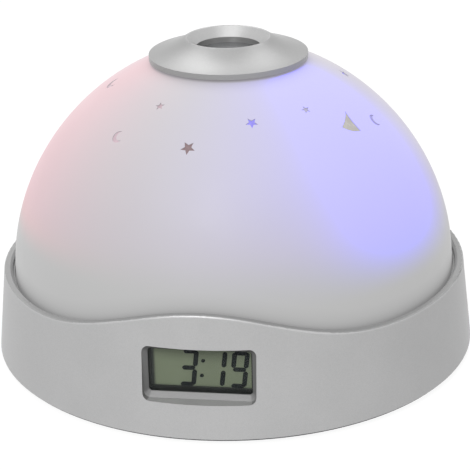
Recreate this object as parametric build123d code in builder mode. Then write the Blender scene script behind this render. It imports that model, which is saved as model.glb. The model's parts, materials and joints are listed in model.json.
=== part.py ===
from build123d import *
from math import acos, cos, degrees, radians, sin, tan

# Projection alarm clock: a silver ring with a display window carries a frosted dome, and a
# sprung cap with a lens at the top of the dome switches the light on when it is pressed.
# Millimetres, +Z up. The origin is on the table under the middle of the clock, and the
# display looks along -Y.

# ---------------------------------------------------------------- driving sizes
# Fits
seat_gap = 0.1              # between pieces that seat on each other
slide_gap = 0.1             # radial, between a sleeve and what slides in it
pivot_gap = 0.08            # radial, between a pin and its bearing
touch_gap = 0.3             # between moving pieces that only pass each other
thread_gap = 0.05           # radial, around a screw's thread in its boss

# Casing ring
ring_radius = 57.5          # at its bottom edge
wall_draft = 6.44           # degrees that the outer wall leans inwards
ring_wall = 1.5
rim_width = 2.0             # the wall's width at the rim
rim_above_lip = 1.4
rim_round = 0.5
rim_bevel = 0.6             # on the rim's inner edge
lip_thickness = 1.3         # the ledge inside the rim that holds the dome down
hump_height = 8.1           # how far the rim rises over the display
hump_reach = 72.0           # degrees round the ring where the rise has died away
hump_power = 5.9            # how fast it dies away
hump_points = 8             # points of the bell curve on each side of the crest

# Display window in the ring
display_setback = 5.1       # from the ring's bottom edge inwards to the back of the bezel
display_height = 14.05      # the window's middle, above the ring's bottom edge
window_width = 22.8
window_height = 10.4
window_land = 0.3           # straight edge behind the bevel
window_bevel = 1.05         # width and depth of the bevel between the window and its recess
window_corner = 0.8
recess_corner = 1.6
view_margin = 0.7           # dark border of the holder that shows in the window
view_side_margin = 0.4
bezel_wall = 1.4            # bezel around the display bay
bay_gap = 0.2

# Display stack
pane_thickness = 0.9
pane_border = 1.1           # how far the clear pane reaches past the window
lcd_width = 26.6
lcd_height = 14.4
lcd_glass = 1.1             # one of the two sheets
lcd_ledge = 2.0             # contact strip at the top and bottom of the front sheet
holder_wall = 0.7
holder_lip = 0.5
zebra_inset = 1.0           # from the glass's ends to the strips
zebra_height = 1.7
board_setback = 7.6         # from the back of the bezel to the main board's front

# Circuit boards
board_thickness = 1.6
main_board_width = 42.0
board_clearance = 1.2       # between a board's lower edge and the bottom cover
boss_radius = 2.6
main_boss_inset = 3.0       # from the board's ends to its screws
main_boss_height = 9.0      # above the bottom cover's underside
board_screw_radius = 1.0
board_screw_head = 2.0
board_screw_head_height = 1.3
board_screw_length = 6.0
led_screw_length = 4.0
chip_radius = 5.0
chip_height = 1.4
crystal_radius = 1.5
crystal_length = 8.0

# Bottom cover, its screws and its feet
foot_radius = 4.5
foot_rise = 1.0             # how far the feet hold the cover off the table
foot_sink = 0.5             # how deep the feet sit in the cover
foot_inset = 9.5            # from the ring's bottom edge to the middle of a foot
foot_count = 4
cover_thickness = 2.0
cover_flange = 0.5          # edge of the cover that shows under the ring
cover_inset = 0.5           # how far that edge stays inside the ring's outer wall
cover_fit = 0.2
screw_inset = 12.5          # from the ring's bottom edge to the middle of a screw
cover_screw_count = 4
cover_boss_radius = 4.6
cover_boss_height = 3.0     # above the inside of the cover
post_radius = 4.0
screw_head_radius = 2.8
screw_head_height = 1.8
screw_radius = 1.2
screw_length = 10.0
screw_floor = 1.8           # plastic left between the screw's head and the post
head_gap = 0.3

# Battery compartment
cell_radius = 5.25
cell_length = 43.5
nub_radius = 1.9
nub_length = 1.0
cell_count = 3
cell_gap = 0.2              # between one cell and the next
cell_play = 0.3
tub_wall = 1.3
tub_shift = 2.0             # the compartment's middle, behind the clock's axis
spring_reach = 5.1          # room for the spring at a cell's flat end
contact_reach = 1.7         # room for the raised contact at a cell's nub
contact_thickness = 0.4
contact_width = 8.0
contact_radius = 1.6
cell_spring_radius = 3.6
cell_spring_tip = 2.4
door_thickness = 1.5
door_gap = 0.25
door_pin_radius = 0.7       # stub pins that the door swings on
door_pin_length = 1.0
thumb_radius = 6.0          # thumb recess at the door's free end
thumb_depth = 0.6

# Deck under the dome
deck_thickness = 1.8
deck_fit = 0.25
wire_hole_radius = 3.0
wire_hole_distance = 30.0

# Dome
dome_gap = 0.84             # between the rim and the dome's skin
dome_rise = 52.8            # from its equator to where its top would close
dome_fullness = 1.925       # exponent of the profile, where 2 is an ellipse
dome_wall = 1.6
dome_flange_thickness = 1.8
dome_equator_drop = 0.77    # the equator, below the flat part of the rim
dome_hole_fit = 0.3
dome_points = 8             # points of the profile's curve
window_depth = 0.4          # how deep the clear stars are sunk in the skin

# Top cap, its hub and the projector
cap_radius = 18.46
cap_band = 1.2              # height of the straight band round the edge
cap_clearance = 0.25        # left between the dome and the cap's edge when it is pressed
cap_top_rise = 4.95         # from the cap's lower edge to its crater's rim
cap_wall = 1.0
cap_bulge = 0.4             # how far the cap's cone bows outwards
crater_radius = 9.75
crater_taper_height = 2.3   # of the crater's sloping wall
crater_step_height = 1.3    # of the straight wall under it
throat_radius = 7.5
lens_seat = 1.0             # width of the ledge that the lens sits against
hub_wall = 1.0
hub_depth = 2.3             # how far the hub reaches under the dome's hole
retainer_width = 2.9
retainer_height = 1.0
lens_edge = 1.7
lens_crown = 0.35
tube_wall = 1.0
tube_flange_width = 2.3
tube_flange_thickness = 1.5
slide_ledge = 1.0
slide_ledge_drop = 12.5     # from the tube's top down to the pattern slide
slide_thickness = 0.6
press_travel = 0.5
edge_round = 0.3

# Light board in the dome
led_board_radius = 20.0
led_board_thickness = 1.2
led_boss_height = 1.8
led_boss_radius = 2.2
led_boss_inset = 3.5        # from the board's edge to its screws
led_radius = 2.5
led_collar = 0.4
led_collar_height = 1.0
led_height = 8.6
led_clearance = 1.2         # between the tube's flange and an emitter
return_spring_height = 5.0
return_spring_wire = 0.4
return_spring_turns = 4
wire_sides = 8
sleeve_wall = 1.1
sleeve_height = 15.0
sleeve_foot_height = 0.8
switch_size = 6.0
switch_height = 3.6
switch_plunger_radius = 1.7
switch_plunger_sink = 2.4
switch_clearance = 1.1      # between the return spring and the switch

# Buttons at the back
button_radius = 3.0
button_hole_gap = 0.15
button_proud = 0.6
button_travel = 0.5
button_flange = 0.9
button_flange_thickness = 0.8
button_pitch = 9.0
button_drop = 0.4           # from the deck down to the buttons' flanges
button_names = ("button_down", "button_up", "button_set", "button_mode")
stem_radius = 1.4
button_board_setback = 14.5  # from the ring's bottom edge to the button board's inner face
button_board_width = 46.0
key_height = 3.6
key_bore_depth = 1.8
button_post_width = 5.0
button_post_inset = 3.0     # from the board's ends to its screws

# Slide switch on the underside
slider_distance = 34.0
slider_width = 5.0
slider_length = 5.0
slider_travel = 4.0
slider_recess = 1.0
slider_stem = 2.0
slide_switch_height = 3.6

# Sounder
buzzer_radius = 10.0
buzzer_height = 5.0
buzzer_distance = 31.0
buzzer_wall = 1.2
buzzer_wall_height = 2.5
sound_hole_radius = 0.8
sound_hole_distance = 5.0
sound_hole_count = 6

# Clear windows in the dome: form, degrees from the front towards +X, distance from the
# axis, width and degrees of turn
dome_windows = (
    ("star", -7.2, 34.2, 3.3, 180),
    ("star", 17.8, 29.2, 2.8, 175),
    ("star", 45.0, 28.2, 2.2, 150),
    ("comet", 61.2, 33.4, 5.4, -30),
    ("star", -27.4, 26.3, 2.2, 20),
    ("crescent", -37.8, 34.4, 3.0, 30),
    ("crescent", 76.2, 35.5, 3.1, -20),
    ("star", 101.0, 27.0, 3.0, 60),
    ("comet", 122.0, 33.5, 4.9, 200),
    ("star", 146.0, 28.5, 3.2, 90),
    ("crescent", 168.0, 34.0, 4.2, 15),
    ("star", -170.0, 26.5, 2.6, 40),
    ("star", -149.0, 33.0, 3.6, 200),
    ("comet", -124.0, 28.0, 4.4, 330),
    ("star", -101.0, 34.5, 3.0, 110),
    ("crescent", -78.0, 27.0, 3.6, 70),
)
star_tips = 5
star_waist = 0.45           # the star's inner corners, as a share of its tips

# ---------------------------------------------------------------- places worked out
display_distance = ring_radius - display_setback
board_distance = display_distance - board_setback
button_board_distance = ring_radius - button_board_setback
foot_distance = ring_radius - foot_inset
screw_distance = ring_radius - screw_inset
cell_pitch = 2 * cell_radius + cell_gap
hub_radius = throat_radius + lens_seat + hub_wall
zebra_length = lcd_width - 2 * zebra_inset
main_boss_spacing = main_board_width - 2 * main_boss_inset
button_post_spacing = button_board_width - 2 * button_post_inset
led_boss_distance = led_board_radius - led_boss_inset

cover_bottom = foot_rise
ring_bottom = cover_bottom + cover_flange
cover_top = cover_bottom + cover_thickness
door_top = cover_bottom + door_thickness
cell_middle = door_top + cell_play + cell_radius
tub_ceiling = cell_middle + cell_radius + cell_play
tub_top = tub_ceiling + tub_wall
deck_bottom = tub_top + seat_gap
deck_top = deck_bottom + deck_thickness
flange_top = deck_top + dome_flange_thickness
lip_bottom = flange_top + seat_gap
lip_top = lip_bottom + lip_thickness
rim_z = lip_top + rim_above_lip
hump_top = rim_z + hump_height
dome_equator = rim_z - dome_equator_drop

window_z = ring_bottom + display_height
recess_width = window_width + 2 * window_bevel
recess_height = window_height + 2 * window_bevel
pane_width = window_width + 2 * pane_border
pane_height = window_height + 2 * pane_border
holder_width = lcd_width + 2 * (holder_wall + seat_gap)
holder_height = lcd_height + 2 * (holder_wall + seat_gap)
bay_width = holder_width + 2 * bay_gap
bay_height = holder_height + 2 * bay_gap
notch_width = bay_width + 2 * touch_gap
notch_top = window_z + bay_height / 2 + bezel_wall + touch_gap
lcd_front = display_distance - pane_thickness - holder_lip

tub_width = (cell_count - 1) * cell_pitch + 2 * (cell_radius + cell_play)
tub_length = cell_length + nub_length + spring_reach + contact_reach

dome_hole_radius = hub_radius + dome_hole_fit
tube_radius = hub_radius - hub_wall - seat_gap
tube_flange_radius = tube_radius + tube_flange_width
coil_radius = tube_radius + 2 * return_spring_wire
led_distance = tube_flange_radius + led_clearance + led_radius
switch_distance = coil_radius + return_spring_wire + switch_clearance + switch_size / 2
board_z = deck_top + led_boss_height
led_board_top = board_z + led_board_thickness
tube_bottom = led_board_top + return_spring_height
button_z = deck_bottom - button_drop - button_flange - button_radius


def outer_radius(z):
    """Radius of the ring's outer wall at height z."""
    return ring_radius - (z - ring_bottom) * tan(radians(wall_draft))


def dome_profile(turn, inset=0.0):
    """Point of the dome's profile, turn degrees up from its equator."""
    bend = 2 / dome_fullness
    return (
        (dome_radius - inset) * cos(radians(turn)) ** bend,
        dome_equator + (dome_rise - inset) * sin(radians(turn)) ** bend,
    )


def dome_turn(distance, inset=0.0):
    """Degrees up from the dome's equator where its skin is this far from the axis."""
    return degrees(acos((distance / (dome_radius - inset)) ** (dome_fullness / 2)))


def dome_height(distance, inset=0.0):
    """Height of the dome's skin this far from the axis."""
    return dome_profile(dome_turn(distance, inset), inset)[1]


def dome_curve(inset, hole):
    """Points of the dome's profile from its equator up to its hole."""
    last = dome_turn(hole, inset)
    return [dome_profile(last * step / dome_points, inset) for step in range(dome_points + 1)]


def rim_height(share):
    """Height of the rim, by the share of the hump's reach: a bell curve over the display."""
    return rim_z + hump_height * cos(radians(90 * share)) ** hump_power


def is_rim(face):
    """True for the faces along the top of the ring's wall."""
    return face.normal_at().Z > 0.6 and face.center().Z > lip_top + rim_round and face.area > 100


def is_outer_edge(edge):
    """True for a curved edge that lies on the ring's outer wall."""
    middle = edge @ 0.5
    on_wall = (middle.X**2 + middle.Y**2) ** 0.5 > outer_radius(middle.Z) - rim_width / 4
    return on_wall and edge.geom_type != GeomType.LINE


def is_inner_edge(edge):
    """True for a curved edge along the inner side of the rim."""
    middle = edge @ 0.5
    inside = (middle.X**2 + middle.Y**2) ** 0.5 < outer_radius(middle.Z) - rim_width * 3 / 4
    return inside and edge.geom_type != GeomType.LINE


dome_radius = outer_radius(lip_top) - rim_width - dome_gap
skirt_radius = outer_radius(flange_top) - ring_wall - deck_fit
cap_edge = dome_height(cap_radius) + cap_clearance + press_travel
cap_top = cap_edge + cap_top_rise
throat_bottom = cap_top - crater_taper_height - crater_step_height
hub_bottom = dome_height(dome_hole_radius, dome_wall) - hub_depth
tube_top = throat_bottom - lens_edge - seat_gap
retainer_top = dome_height(hub_radius + retainer_width, dome_wall) - touch_gap


# ---------------------------------------------------------------- casing ring
front_to_back = 2 * ring_radius
with BuildPart() as base_ring:
    # Bezel behind the display window, and two bosses for the main board, trimmed to the
    # middle of the wall
    with BuildSketch(Plane.XZ.offset(display_distance)):
        with Locations((0, window_z)):
            Rectangle(bay_width + 2 * bezel_wall, bay_height + 2 * bezel_wall)
    extrude(amount=ring_radius - display_distance)
    with BuildSketch(Plane.XZ.offset(board_distance)):
        with Locations((0, cover_bottom + main_boss_height)):
            with GridLocations(main_boss_spacing, 0, 2, 1):
                Circle(boss_radius)
    extrude(amount=ring_radius - board_distance)
    with BuildSketch(Plane.XZ):
        Polygon(
            (0, ring_bottom),
            (ring_radius - ring_wall / 2, ring_bottom),
            (outer_radius(hump_top) - ring_wall / 2, hump_top),
            (0, hump_top),
            align=None,
        )
    revolve(axis=Axis.Z, mode=Mode.INTERSECT)
    # Wall with the lip that holds the dome down, as high as the hump all the way round
    with BuildSketch(Plane.XZ):
        Polygon(
            (ring_radius, ring_bottom),
            (outer_radius(hump_top), hump_top),
            (outer_radius(hump_top) - rim_width, hump_top),
            (outer_radius(lip_top) - rim_width, lip_top),
            (dome_radius + touch_gap, lip_top),
            (dome_radius + touch_gap, lip_bottom),
            (outer_radius(lip_bottom) - ring_wall, lip_bottom),
            (ring_radius - ring_wall, ring_bottom),
            align=None,
        )
    revolve(axis=Axis.Z)
    # The rim's wave over the display, and its flat stretch round the back
    rim_radius = outer_radius(rim_z)
    wave = []
    for step in range(-hump_points, hump_points + 1):
        share = step / hump_points
        wave.append((rim_radius * sin(radians(hump_reach * share)), rim_height(abs(share))))
    with BuildSketch(Plane.XZ):
        with BuildLine():
            crest = Spline(*wave, tangents=[(1, 0), (1, 0)])
            Polyline(
                crest @ 1,
                (ring_radius, rim_z),
                (ring_radius, hump_top + hump_height),
                (-ring_radius, hump_top + hump_height),
                (-ring_radius, rim_z),
                crest @ 0,
            )
        make_face()
    extrude(amount=ring_radius, mode=Mode.SUBTRACT)
    with BuildSketch(Plane.XY.offset(rim_z)):
        with Locations((0, ring_radius / 2)):
            Rectangle(front_to_back, ring_radius)
    extrude(amount=2 * hump_height, mode=Mode.SUBTRACT)
    rim = base_ring.faces().filter_by(is_rim).edges().filter_by(is_outer_edge)
    fillet(rim, radius=rim_round)
    rim = base_ring.faces().filter_by(is_rim).edges().filter_by(is_inner_edge)
    chamfer(rim, length=rim_bevel)
    # Bay for the display holder behind the bezel
    with BuildSketch(Plane.XZ.offset(display_distance)):
        with Locations((0, window_z)):
            Rectangle(bay_width, bay_height)
    extrude(amount=board_distance - display_distance, mode=Mode.SUBTRACT)
    # Display window: a straight edge, a bevel, then the straight sides of its recess
    land_distance = display_distance + window_land
    recess_distance = land_distance + window_bevel
    with BuildSketch(Plane.XZ.offset(display_distance)):
        with Locations((0, window_z)):
            RectangleRounded(window_width, window_height, window_corner)
    extrude(amount=window_land, mode=Mode.SUBTRACT)
    with BuildSketch(Plane.XZ.offset(land_distance)):
        with Locations((0, window_z)):
            RectangleRounded(window_width, window_height, window_corner)
    with BuildSketch(Plane.XZ.offset(recess_distance)):
        with Locations((0, window_z)):
            RectangleRounded(recess_width, recess_height, recess_corner)
    loft(ruled=True, mode=Mode.SUBTRACT)
    with BuildSketch(Plane.XZ.offset(recess_distance)):
        with Locations((0, window_z)):
            RectangleRounded(recess_width, recess_height, recess_corner)
    extrude(amount=ring_radius - recess_distance, mode=Mode.SUBTRACT)
    # Pilot holes for the main board's screws
    with BuildSketch(Plane.XZ.offset(board_distance)):
        with Locations((0, cover_bottom + main_boss_height)):
            with GridLocations(main_boss_spacing, 0, 2, 1):
                Circle(board_screw_radius + thread_gap)
    extrude(amount=board_screw_length - board_thickness + touch_gap, mode=Mode.SUBTRACT)
    # Round holes for the four buttons at the back
    with BuildSketch(Plane.XZ.offset(-display_distance + ring_wall)):
        with Locations((0, button_z)):
            with GridLocations(button_pitch, 0, len(button_names), 1):
                Circle(button_radius + button_hole_gap)
    extrude(amount=-ring_radius / 4, mode=Mode.SUBTRACT)
base_ring.part.label = "base_ring"
export_step(base_ring.part, "parts/base_ring.step")

# ---------------------------------------------------------------- bottom cover and feet
tub_front = tub_shift - tub_length / 2
tub_rear = tub_shift + tub_length / 2
cover_boss_top = cover_top + cover_boss_height
head_seat = cover_boss_top - screw_floor
door_width = tub_width - 2 * door_gap
door_pivot = (tub_rear - door_gap - door_thickness / 2, cover_bottom + door_thickness / 2)
slider_room = slider_travel + 2 * touch_gap
buzzer_well = buzzer_radius + seat_gap
button_post_top = deck_bottom - board_clearance
board_bottom = cover_top + board_clearance
board_top = deck_bottom - touch_gap
button_screw_z = (board_bottom + board_top) / 2

with BuildPart() as bottom_cover:
    with BuildSketch(Plane.XY.offset(cover_bottom)):
        Circle(ring_radius - cover_inset)
    extrude(amount=cover_flange)
    with BuildSketch(Plane.XY.offset(ring_bottom)):
        Circle(ring_radius - ring_wall - cover_fit)
    extrude(amount=cover_top - ring_bottom)
    # Bosses over the screws, and the posts of the button board
    with BuildSketch(Plane.XY.offset(cover_top)):
        with PolarLocations(screw_distance, cover_screw_count, start_angle=45):
            Circle(cover_boss_radius)
    extrude(amount=cover_boss_height)
    with BuildSketch(Plane.XY.offset(cover_top)):
        with Locations((0, button_board_distance - button_post_width / 2)):
            with GridLocations(button_post_spacing, 0, 2, 1):
                Rectangle(button_post_width, button_post_width)
    extrude(amount=button_post_top - cover_top)
    # Wall around the sounder
    with BuildSketch(Plane.XY.offset(cover_top)):
        with Locations((-buzzer_distance, 0)):
            Circle(buzzer_well + buzzer_wall)
            Circle(buzzer_well, mode=Mode.SUBTRACT)
    extrude(amount=buzzer_wall_height)
    # Battery compartment, open at the bottom
    with BuildSketch(Plane.XY.offset(cover_top)):
        with Locations((0, tub_shift)):
            Rectangle(tub_width + 2 * tub_wall, tub_length + 2 * tub_wall)
    extrude(amount=tub_top - cover_top)
    with BuildSketch(Plane.XY.offset(cover_bottom)):
        with Locations((0, tub_shift)):
            Rectangle(tub_width, tub_length)
    extrude(amount=tub_ceiling - cover_bottom, mode=Mode.SUBTRACT)
    # Bearings for the door's stub pins
    with BuildSketch(Plane.YZ):
        with Locations(door_pivot):
            Circle(door_pin_radius + pivot_gap)
    extrude(amount=door_width / 2 + door_pin_length + seat_gap, both=True, mode=Mode.SUBTRACT)
    # Screw holes with deep counterbores
    with BuildSketch(Plane.XY.offset(cover_bottom)):
        with PolarLocations(screw_distance, cover_screw_count, start_angle=45):
            Circle(screw_head_radius + head_gap)
    extrude(amount=head_seat - cover_bottom, mode=Mode.SUBTRACT)
    with BuildSketch(Plane.XY.offset(head_seat)):
        with PolarLocations(screw_distance, cover_screw_count, start_angle=45):
            Circle(screw_radius + head_gap)
    extrude(amount=screw_floor, mode=Mode.SUBTRACT)
    # Seats for the feet
    with BuildSketch(Plane.XY.offset(cover_bottom)):
        with PolarLocations(foot_distance, foot_count):
            Circle(foot_radius + seat_gap)
    extrude(amount=foot_sink, mode=Mode.SUBTRACT)
    # Sound holes under the sounder
    with BuildSketch(Plane.XY.offset(cover_bottom)):
        with Locations((-buzzer_distance, 0)):
            Circle(sound_hole_radius)
            with PolarLocations(sound_hole_distance, sound_hole_count):
                Circle(sound_hole_radius)
    extrude(amount=cover_thickness, mode=Mode.SUBTRACT)
    # Recess and slot of the slide switch
    with BuildSketch(Plane.XY.offset(cover_bottom)):
        with Locations((slider_distance, 0)):
            Rectangle(slider_width + 2 * touch_gap, slider_length + slider_room)
    extrude(amount=slider_recess, mode=Mode.SUBTRACT)
    with BuildSketch(Plane.XY.offset(cover_bottom)):
        with Locations((slider_distance, 0)):
            Rectangle(slider_stem + 2 * touch_gap, slider_stem + slider_room)
    extrude(amount=cover_thickness, mode=Mode.SUBTRACT)
    # Pilot holes in the button board's posts
    with BuildSketch(Plane.XZ.offset(-button_board_distance)):
        with Locations((0, button_screw_z)):
            with GridLocations(button_post_spacing, 0, 2, 1):
                Circle(board_screw_radius + thread_gap)
    extrude(amount=board_screw_length - board_thickness + seat_gap, mode=Mode.SUBTRACT)
bottom_cover.part.label = "bottom_cover"
export_step(bottom_cover.part, "parts/bottom_cover.step")

with BuildPart() as rubber_feet:
    with BuildSketch():
        with PolarLocations(foot_distance, foot_count):
            Circle(foot_radius)
    extrude(amount=foot_rise + foot_sink)
    fillet(rubber_feet.edges().group_by(Axis.Z)[0], radius=edge_round)
rubber_feet.part.label = "rubber_feet"
export_step(rubber_feet.part, "parts/rubber_feet.step")

with BuildPart() as battery_door:
    # Plate whose rear edge is round about the pivot
    with BuildSketch(Plane.YZ):
        with BuildLine():
            upper = Line((door_pivot[0], door_top), (tub_front + door_gap, door_top))
            front = Line(upper @ 1, (tub_front + door_gap, cover_bottom))
            lower = Line(front @ 1, (door_pivot[0], cover_bottom))
            ThreePointArc(
                lower @ 1, (door_pivot[0] + door_thickness / 2, door_pivot[1]), upper @ 0
            )
        make_face()
    extrude(amount=door_width / 2, both=True)
    # Stub pins
    with BuildSketch(Plane.YZ):
        with Locations(door_pivot):
            Circle(door_pin_radius)
    extrude(amount=door_width / 2 + door_pin_length, both=True)
    # Thumb recess at the free end
    with BuildSketch(Plane.XY.offset(cover_bottom)):
        with Locations((0, tub_front + door_gap)):
            Circle(thumb_radius)
    extrude(amount=thumb_depth, mode=Mode.SUBTRACT)
battery_door.part.label = "battery_door"
export_step(battery_door.part, "parts/battery_door.step")

with BuildPart() as cover_screws:
    with BuildSketch(Plane.XY.offset(head_seat)):
        with PolarLocations(screw_distance, cover_screw_count, start_angle=45):
            Circle(screw_head_radius)
    extrude(amount=-screw_head_height)
    with BuildSketch(Plane.XY.offset(head_seat)):
        with PolarLocations(screw_distance, cover_screw_count, start_angle=45):
            Circle(screw_radius)
    extrude(amount=screw_length)
cover_screws.part.label = "cover_screws"
export_step(cover_screws.part, "parts/cover_screws.step")

# ---------------------------------------------------------------- batteries
# Each cell: its place across the compartment, and the side its nub faces
cells = []
for index in range(cell_count):
    across = (index - (cell_count - 1) / 2) * cell_pitch
    cells.append((across, 1 if index % 2 == 0 else -1))

with BuildPart() as batteries:
    for across, facing in cells:
        flat_end = tub_shift - facing * (tub_length / 2 - spring_reach)
        with BuildSketch(Plane.XZ.offset(-flat_end)):
            with Locations((across, cell_middle)):
                Circle(cell_radius)
        extrude(amount=-facing * cell_length)
        with BuildSketch(Plane.XZ.offset(-flat_end)):
            with Locations((across, cell_middle)):
                Circle(nub_radius)
        extrude(amount=-facing * (cell_length + nub_length))
batteries.part.label = "batteries"
export_step(batteries.part, "parts/batteries.step")

with BuildPart() as battery_contacts:
    for across, facing in cells:
        nub_wall = tub_shift + facing * tub_length / 2
        with BuildSketch(Plane.XZ.offset(-nub_wall)):
            with Locations((across, cell_middle)):
                Rectangle(contact_width, contact_width)
        extrude(amount=facing * contact_thickness)
        with BuildSketch(Plane.XZ.offset(-nub_wall)):
            with Locations((across, cell_middle)):
                Circle(contact_radius)
        extrude(amount=facing * (contact_reach - seat_gap))
battery_contacts.part.label = "battery_contacts"
export_step(battery_contacts.part, "parts/battery_contacts.step")

with BuildPart() as battery_springs:
    for across, facing in cells:
        flat_wall = tub_shift - facing * tub_length / 2
        with BuildSketch(Plane.XZ.offset(-flat_wall)):
            with Locations((across, cell_middle)):
                Rectangle(contact_width, contact_width)
        extrude(amount=-facing * contact_thickness)
        with BuildSketch(Plane.XZ.offset(-flat_wall - facing * contact_thickness)):
            with Locations((across, cell_middle)):
                Circle(cell_spring_radius)
        with BuildSketch(Plane.XZ.offset(-flat_wall - facing * (spring_reach - seat_gap))):
            with Locations((across, cell_middle)):
                Circle(cell_spring_tip)
        loft()
battery_springs.part.label = "battery_springs"
export_step(battery_springs.part, "parts/battery_springs.step")

# ---------------------------------------------------------------- deck and dome
notch_back = board_distance - board_thickness - 2 * touch_gap
with BuildPart() as inner_deck:
    with BuildSketch(Plane.XY.offset(deck_bottom)):
        Circle(outer_radius(deck_top) - ring_wall - deck_fit)
        with Locations((0, -notch_back)):
            Rectangle(
                notch_width, ring_radius, align=(Align.CENTER, Align.MAX), mode=Mode.SUBTRACT
            )
        with Locations((-wire_hole_distance, 0)):
            Circle(wire_hole_radius, mode=Mode.SUBTRACT)
    extrude(amount=deck_thickness)
    # Posts down to the bottom cover, and bosses under the light board
    with BuildSketch(Plane.XY.offset(cover_boss_top)):
        with PolarLocations(screw_distance, cover_screw_count, start_angle=45):
            Circle(post_radius)
    extrude(amount=deck_bottom - cover_boss_top)
    with BuildSketch(Plane.XY.offset(deck_top)):
        with PolarLocations(led_boss_distance, 4, start_angle=45):
            Circle(led_boss_radius)
    extrude(amount=led_boss_height)
    with BuildSketch(Plane.XY.offset(cover_boss_top)):
        with PolarLocations(screw_distance, cover_screw_count, start_angle=45):
            Circle(screw_radius + thread_gap)
    extrude(amount=head_seat + screw_length + seat_gap - cover_boss_top, mode=Mode.SUBTRACT)
    with BuildSketch(Plane.XY.offset(board_z)):
        with PolarLocations(led_boss_distance, 4, start_angle=45):
            Circle(board_screw_radius + thread_gap)
    extrude(amount=led_board_thickness - led_screw_length - seat_gap, mode=Mode.SUBTRACT)
inner_deck.part.label = "inner_deck"
export_step(inner_deck.part, "parts/inner_deck.step")


def skin_plane(azimuth, distance):
    """Plane on the dome's skin, x level and z outwards, by degrees from the front and distance."""
    across, forward = sin(radians(azimuth)), -cos(radians(azimuth))
    height = dome_height(distance)
    lean = (distance / dome_radius) ** (dome_fullness - 1) / dome_radius
    rise = ((height - dome_equator) / dome_rise) ** (dome_fullness - 1) / dome_rise
    return Plane(
        origin=(distance * across, distance * forward, height),
        x_dir=(-forward, across, 0),
        z_dir=(lean * across, lean * forward, rise),
    )


def star_points(width):
    """Corners of a five-pointed star of this width, one tip up."""
    reach = width / (2 * cos(radians(18)))
    corners = []
    for step in range(2 * star_tips):
        spoke = reach if step % 2 == 0 else reach * star_waist
        angle = radians(90 + 180 * step / star_tips)
        corners.append((spoke * cos(angle), spoke * sin(angle)))
    return corners


def draw_window(form, width):
    """Draws a star, a crescent or a comet of this width in the sketch that is open."""
    if form == "star":
        Polygon(*star_points(width), align=None)
    elif form == "crescent":
        Circle(width / 2)
        with Locations((width / 4, 0)):
            Circle(width * 0.4, mode=Mode.SUBTRACT)
    else:
        tail = (0, 0.6 * width)
        left, right = (-width / 2, -0.35 * width), (width / 2, -0.35 * width)
        with BuildLine() as outline:
            SagittaArc(tail, left, 0.06 * width)
            SagittaArc(left, right, -0.12 * width)
            SagittaArc(right, tail, 0.06 * width)
        make_face(outline.edges())


with BuildPart() as dome:
    with BuildSketch(Plane.XZ):
        with BuildLine():
            outside = dome_curve(0, dome_hole_radius)
            inside = dome_curve(dome_wall, dome_hole_radius)
            inside.reverse()
            foot = Polyline(
                (dome_radius - dome_wall, dome_equator),
                (dome_radius - dome_wall, deck_top),
                (skirt_radius, deck_top),
                (skirt_radius, flange_top),
                (dome_radius, flange_top),
                (dome_radius, dome_equator),
            )
            skin = Spline(*outside)
            Line(skin @ 1, inside[0])
            Spline(*inside)
        make_face()
    revolve(axis=Axis.Z)
    # Notch that lets the display holder through, hidden by the hump
    with BuildSketch(Plane.XY.offset(deck_top)):
        with Locations((0, -notch_back)):
            Rectangle(notch_width, ring_radius, align=(Align.CENTER, Align.MAX))
    extrude(amount=notch_top - deck_top, mode=Mode.SUBTRACT)
    # Clear windows, thinner than the frosted skin
    for form, azimuth, distance, width, turn in dome_windows:
        plane = skin_plane(azimuth, distance).rotated((0, 0, turn))
        with BuildSketch(plane.offset(-window_depth)):
            draw_window(form, width)
        extrude(amount=2 * window_depth, mode=Mode.SUBTRACT)
dome.part.label = "dome"
export_step(dome.part, "parts/dome.step")

# ---------------------------------------------------------------- top cap and projector
cap_slope = (cap_top_rise - cap_band) / (cap_radius - crater_radius)
cap_shoulder = cap_edge + cap_band


def under_cap(distance):
    """Height of the cap's underside this far from the axis."""
    return cap_shoulder + (cap_radius - distance) * cap_slope - cap_wall


with BuildPart() as top_cap:
    with BuildSketch(Plane.XZ):
        with BuildLine():
            edge = Polyline(
                (cap_radius - cap_wall, under_cap(cap_radius - cap_wall)),
                (cap_radius, cap_edge),
                (cap_radius, cap_shoulder),
            )
            cone = SagittaArc(edge @ 1, (crater_radius, cap_top), cap_bulge)
            Polyline(
                cone @ 1,
                (throat_radius, cap_top - crater_taper_height),
                (throat_radius, throat_bottom),
                (hub_radius - hub_wall, throat_bottom),
                (hub_radius - hub_wall, hub_bottom),
                (hub_radius, hub_bottom),
                (hub_radius, under_cap(hub_radius)),
                edge @ 0,
            )
        make_face()
    revolve(axis=Axis.Z)
    rims = top_cap.edges().filter_by(GeomType.CIRCLE).group_by(Axis.Z)
    fillet(rims[-1], radius=edge_round)
top_cap.part.label = "top_cap"
export_step(top_cap.part, "parts/top_cap.step")

lens_radius = hub_radius - hub_wall - seat_gap
lens_face = throat_radius - seat_gap
with BuildPart() as projector_lens:
    with BuildSketch(Plane.XZ):
        with BuildLine():
            rim_line = Polyline(
                (0, throat_bottom - lens_edge),
                (lens_radius, throat_bottom - lens_edge),
                (lens_radius, throat_bottom),
                (lens_face, throat_bottom),
            )
            crown_radius = (lens_face**2 + lens_crown**2) / (2 * lens_crown)
            crown = RadiusArc(rim_line @ 1, (0, throat_bottom + lens_crown), -crown_radius)
            Line(crown @ 1, rim_line @ 0)
        make_face()
    revolve(axis=Axis.Z)
projector_lens.part.label = "projector_lens"
export_step(projector_lens.part, "parts/projector_lens.step")

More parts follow.
